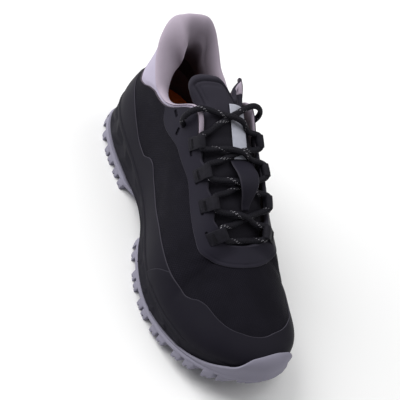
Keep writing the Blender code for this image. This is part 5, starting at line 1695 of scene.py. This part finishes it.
def cord_rings(path, wide, high, sides, reference):
    """Return oval rings along a path and their uv: millimetres along, turns round."""
    tangent = unit(np.gradient(path, axis=0))
    side = unit(np.cross(tangent, reference))
    over = np.cross(side, tangent)
    turn = np.linspace(0.0, 2.0 * math.pi, sides + 1)
    ring = 0.5 * wide * np.cos(turn[:-1])[None, :, None] * side[:, None]
    ring = ring + 0.5 * high * np.sin(turn[:-1])[None, :, None] * over[:, None]
    uv = np.stack(np.broadcast_arrays(run_length(path)[:, None], (turn / (2.0 * math.pi))[None, :]), -1)
    return path[:, None] + ring, uv


# Clearance of the lace over the tongue, lift where one lace crosses another,
# x of the bar at the toe, and the two points where the crossed lace ends
LACE_CLEAR = 0.4
CROSS_LIFT = 3.9
BAR_X = 199.6
TOP_LATERAL = np.array([106.0, -7.0, 0.0])
TOP_MEDIAL = np.array([104.5, 19.0, 0.0])


def over_tongue(point, lift):
    """Return a lace point that rests over the tongue."""
    base = tongue_point(point[0], tongue_across(point[0], point[1]))[2]
    return np.array([point[0], point[1], base + 0.5 * CORD_HIGH + LACE_CLEAR + lift])


def loop_pass(at):
    """Return lace points through one loop, from the toe towards the heel."""
    seat, inward, run, out = loop_frame(at)
    eye = seat + inward * EYE_IN + out * EYE_UP
    reach = run * (0.5 * LOOP_WIDTH - 1.0)
    return [eye + reach, eye, eye - reach]


def crossing(start, end, lift):
    """Return lace points between two loops; lift carries one lace over the other."""
    points = []
    for share in (0.22, 0.36, 0.5, 0.64, 0.78):
        point = start + (end - start) * share
        over = over_tongue(point, lift * math.sin(math.pi * share) ** 2)
        over[2] = max(over[2], point[2] - 2.2 * math.sin(math.pi * share))
        points.append(over)
    return points


def lace_route():
    """Return the lace from its lateral top end, round the bar, to its medial top end."""
    lateral = [loop_pass(along) for along in LOOP_ALONG]
    medial = [loop_pass(2.0 - along) for along in LOOP_ALONG]
    first = [lateral[0], medial[1], lateral[2], medial[3]]
    second = [medial[0], lateral[1], medial[2], lateral[3]]
    ends = (over_tongue(TOP_LATERAL, 1.6), over_tongue(TOP_MEDIAL, 1.0))
    lifts = ((0.0, CROSS_LIFT, 0.0, CROSS_LIFT), (CROSS_LIFT, 0.0, CROSS_LIFT, 0.0))
    runs = []
    for passes, end, lift in zip((first, second), ends, lifts):
        points = []
        for i, loop in enumerate(passes):
            points += loop
            target = passes[i + 1][0] if i + 1 < len(passes) else end
            points += crossing(loop[-1], target, lift[i])
        runs.append(points + [end])
    bar = [over_tongue(np.array([BAR_X, y, 0.0]), 1.2) for y in (-4.0, 5.0, 14.0)]
    return runs[0][::-1] + bar + runs[1]


END_ALONG = 0.360
# The lace turns over the flap's rim on an arc: its radius, its middle out
# from the rim and below it, and stations along it in degrees
TURN_RADIUS = 10.8
TURN_OUT = -3.2
TURN_DOWN = 7.2
TURN_STATIONS = (78.0, 44.0, 10.0, -24.0, -58.0, -92.0)


def end_points(at):
    """Return lace points over the flap's rim and into its top eyelet."""
    turn = np.radians(TURN_STATIONS)
    points = skin(at, 1.0, TURN_OUT + TURN_RADIUS * np.cos(turn))
    return points + np.outer(TURN_RADIUS * np.sin(turn) - TURN_DOWN, rim_rise(at, 0.97))


def build_lace():
    """Build the crossed lace and return the paths of its two ends."""
    route = np.array(lace_route())
    ends = end_points(END_ALONG)[::-1], end_points(2.0 - END_ALONG)
    path = smooth_path(np.concatenate([ends[0], route, ends[1]]), 1400)
    first, last = [int(np.linalg.norm(path - place, axis=1).argmin()) for place in (route[0], route[-1])]
    crossed = evened(path[first:last + 1], 900)
    rings, uv = cord_rings(crossed, CORD_WIDE, CORD_HIGH, CORD_SIDES, LACE_FACE)
    build = Build()
    build.tube(rings, uv)
    nodes = ["lace_bar"] + ["lace_crossing_%d" % i for i in range(1, 5)]
    settle(build.object("lace", [CORD_SKIN], 70.0), "lace_cord", *nodes)
    return path[:first + 1][::-1], path[last:]


def build_lace_end(name, path, node):
    """Build one end of the lace, from its last crossing to where it stops inside the flap."""
    rings, uv = cord_rings(evened(path, 64), CORD_HIGH, CORD_WIDE, CORD_SIDES, END_FACE)
    build = Build()
    build.tube(rings, uv)
    piece = build.object(name, [CORD_SKIN], 70.0)
    return settle(piece, "lace_cord", node)


# Assembly
build_upper()
build_toe_cap()
build_side_film()
build_eyestay()
build_cuff()
build_midsole()
build_insole()
build_outsole()
build_tongue()
build_strip("tongue_tape", RIBBON_ROWS, 0.7, 0.0, RIBBON, "ribbon_webbing", "tongue_ribbon")
build_strip("keeper_strip", KEEPER_ROWS, 1.1, 0.6, TONGUE_FILM, "tongue_fabric", "tongue_keeper")
for number, along in enumerate(LOOP_ALONG, start=1):
    build_loop("loop_lateral_%d" % number, along, "lace_loop_lateral_%d" % number)
    build_loop("loop_medial_%d" % number, 2.0 - along, "lace_loop_medial_%d" % number)
lateral_end, medial_end = build_lace()
build_lace_end("lace_tail_lateral", lateral_end, "lace_end_lateral")
build_lace_end("lace_tail_medial", medial_end, "lace_end_medial")

# Floor, light and camera
FLOOR_HALF = 3.0
floor_mesh = bpy.data.meshes.new("floor")
corners = [(x * FLOOR_HALF, y * FLOOR_HALF, 0.0) for x, y in ((-1, -1), (1, -1), (1, 1), (-1, 1))]
floor_mesh.from_pydata(corners, [], [(0, 1, 2, 3)])
floor = bpy.data.objects.new("floor", floor_mesh)
bpy.context.scene.collection.objects.link(floor)
paper = Nodes("floor_paper")
floor_mesh.materials.append(paper.set(Base_Color=(0.9, 0.9, 0.9), Roughness=0.9, Specular_IOR_Level=0.1))

world = bpy.data.worlds.new("studio")
bpy.context.scene.world = world
world.use_nodes = True
world.node_tree.nodes["Background"].inputs["Color"].default_value = (1.0, 1.0, 1.0, 1.0)
world.node_tree.nodes["Background"].inputs["Strength"].default_value = 0.28

Lamp = namedtuple("Lamp", "name place aim size power")
LAMPS = [
    Lamp("key", (-1.0, -1.0, 1.25), (0.0, 0.0, 0.05), 1.6, 39.0),
    Lamp("fill", (0.3, 1.2, 1.3), (0.0, 0.0, 0.05), 1.8, 9.0),
    Lamp("top", (-0.3, 0.2, 1.9), (0.0, 0.0, 0.05), 1.4, 9.0),
]
for row in LAMPS:
    data = bpy.data.lights.new(row.name, "AREA")
    data.size = row.size
    data.energy = row.power
    lamp = bpy.data.objects.new(row.name, data)
    lamp.location = row.place
    direction = np.array(row.aim) - np.array(row.place)
    lamp.rotation_euler = Vector(direction).to_track_quat("-Z", "Y").to_euler()
    bpy.context.scene.collection.objects.link(lamp)

CAMERA_PLACE = np.array([605.408, -443.984, 668.565])
CAMERA_RIGHT = np.array([0.312731, 0.867930, 0.385871])
CAMERA_DOWN = np.array([0.794278, -0.016177, -0.607339])
CAMERA_AHEAD = np.array([-0.520886, 0.496423, -0.694437])
camera_data = bpy.data.cameras.new("camera")
camera_data.sensor_width = 36.0
camera_data.lens = 99.0
camera_data.clip_end = 20.0
camera = bpy.data.objects.new("camera", camera_data)
place = to_metres(CAMERA_PLACE)
rows = [[CAMERA_RIGHT[k], -CAMERA_DOWN[k], -CAMERA_AHEAD[k], place[k]] for k in range(3)]
camera.matrix_world = Matrix(rows + [[0.0, 0.0, 0.0, 1.0]])
bpy.context.scene.collection.objects.link(camera)
bpy.context.scene.camera = camera
bpy.context.scene.view_settings.view_transform = "Standard"

bpy.context.view_layer.update()
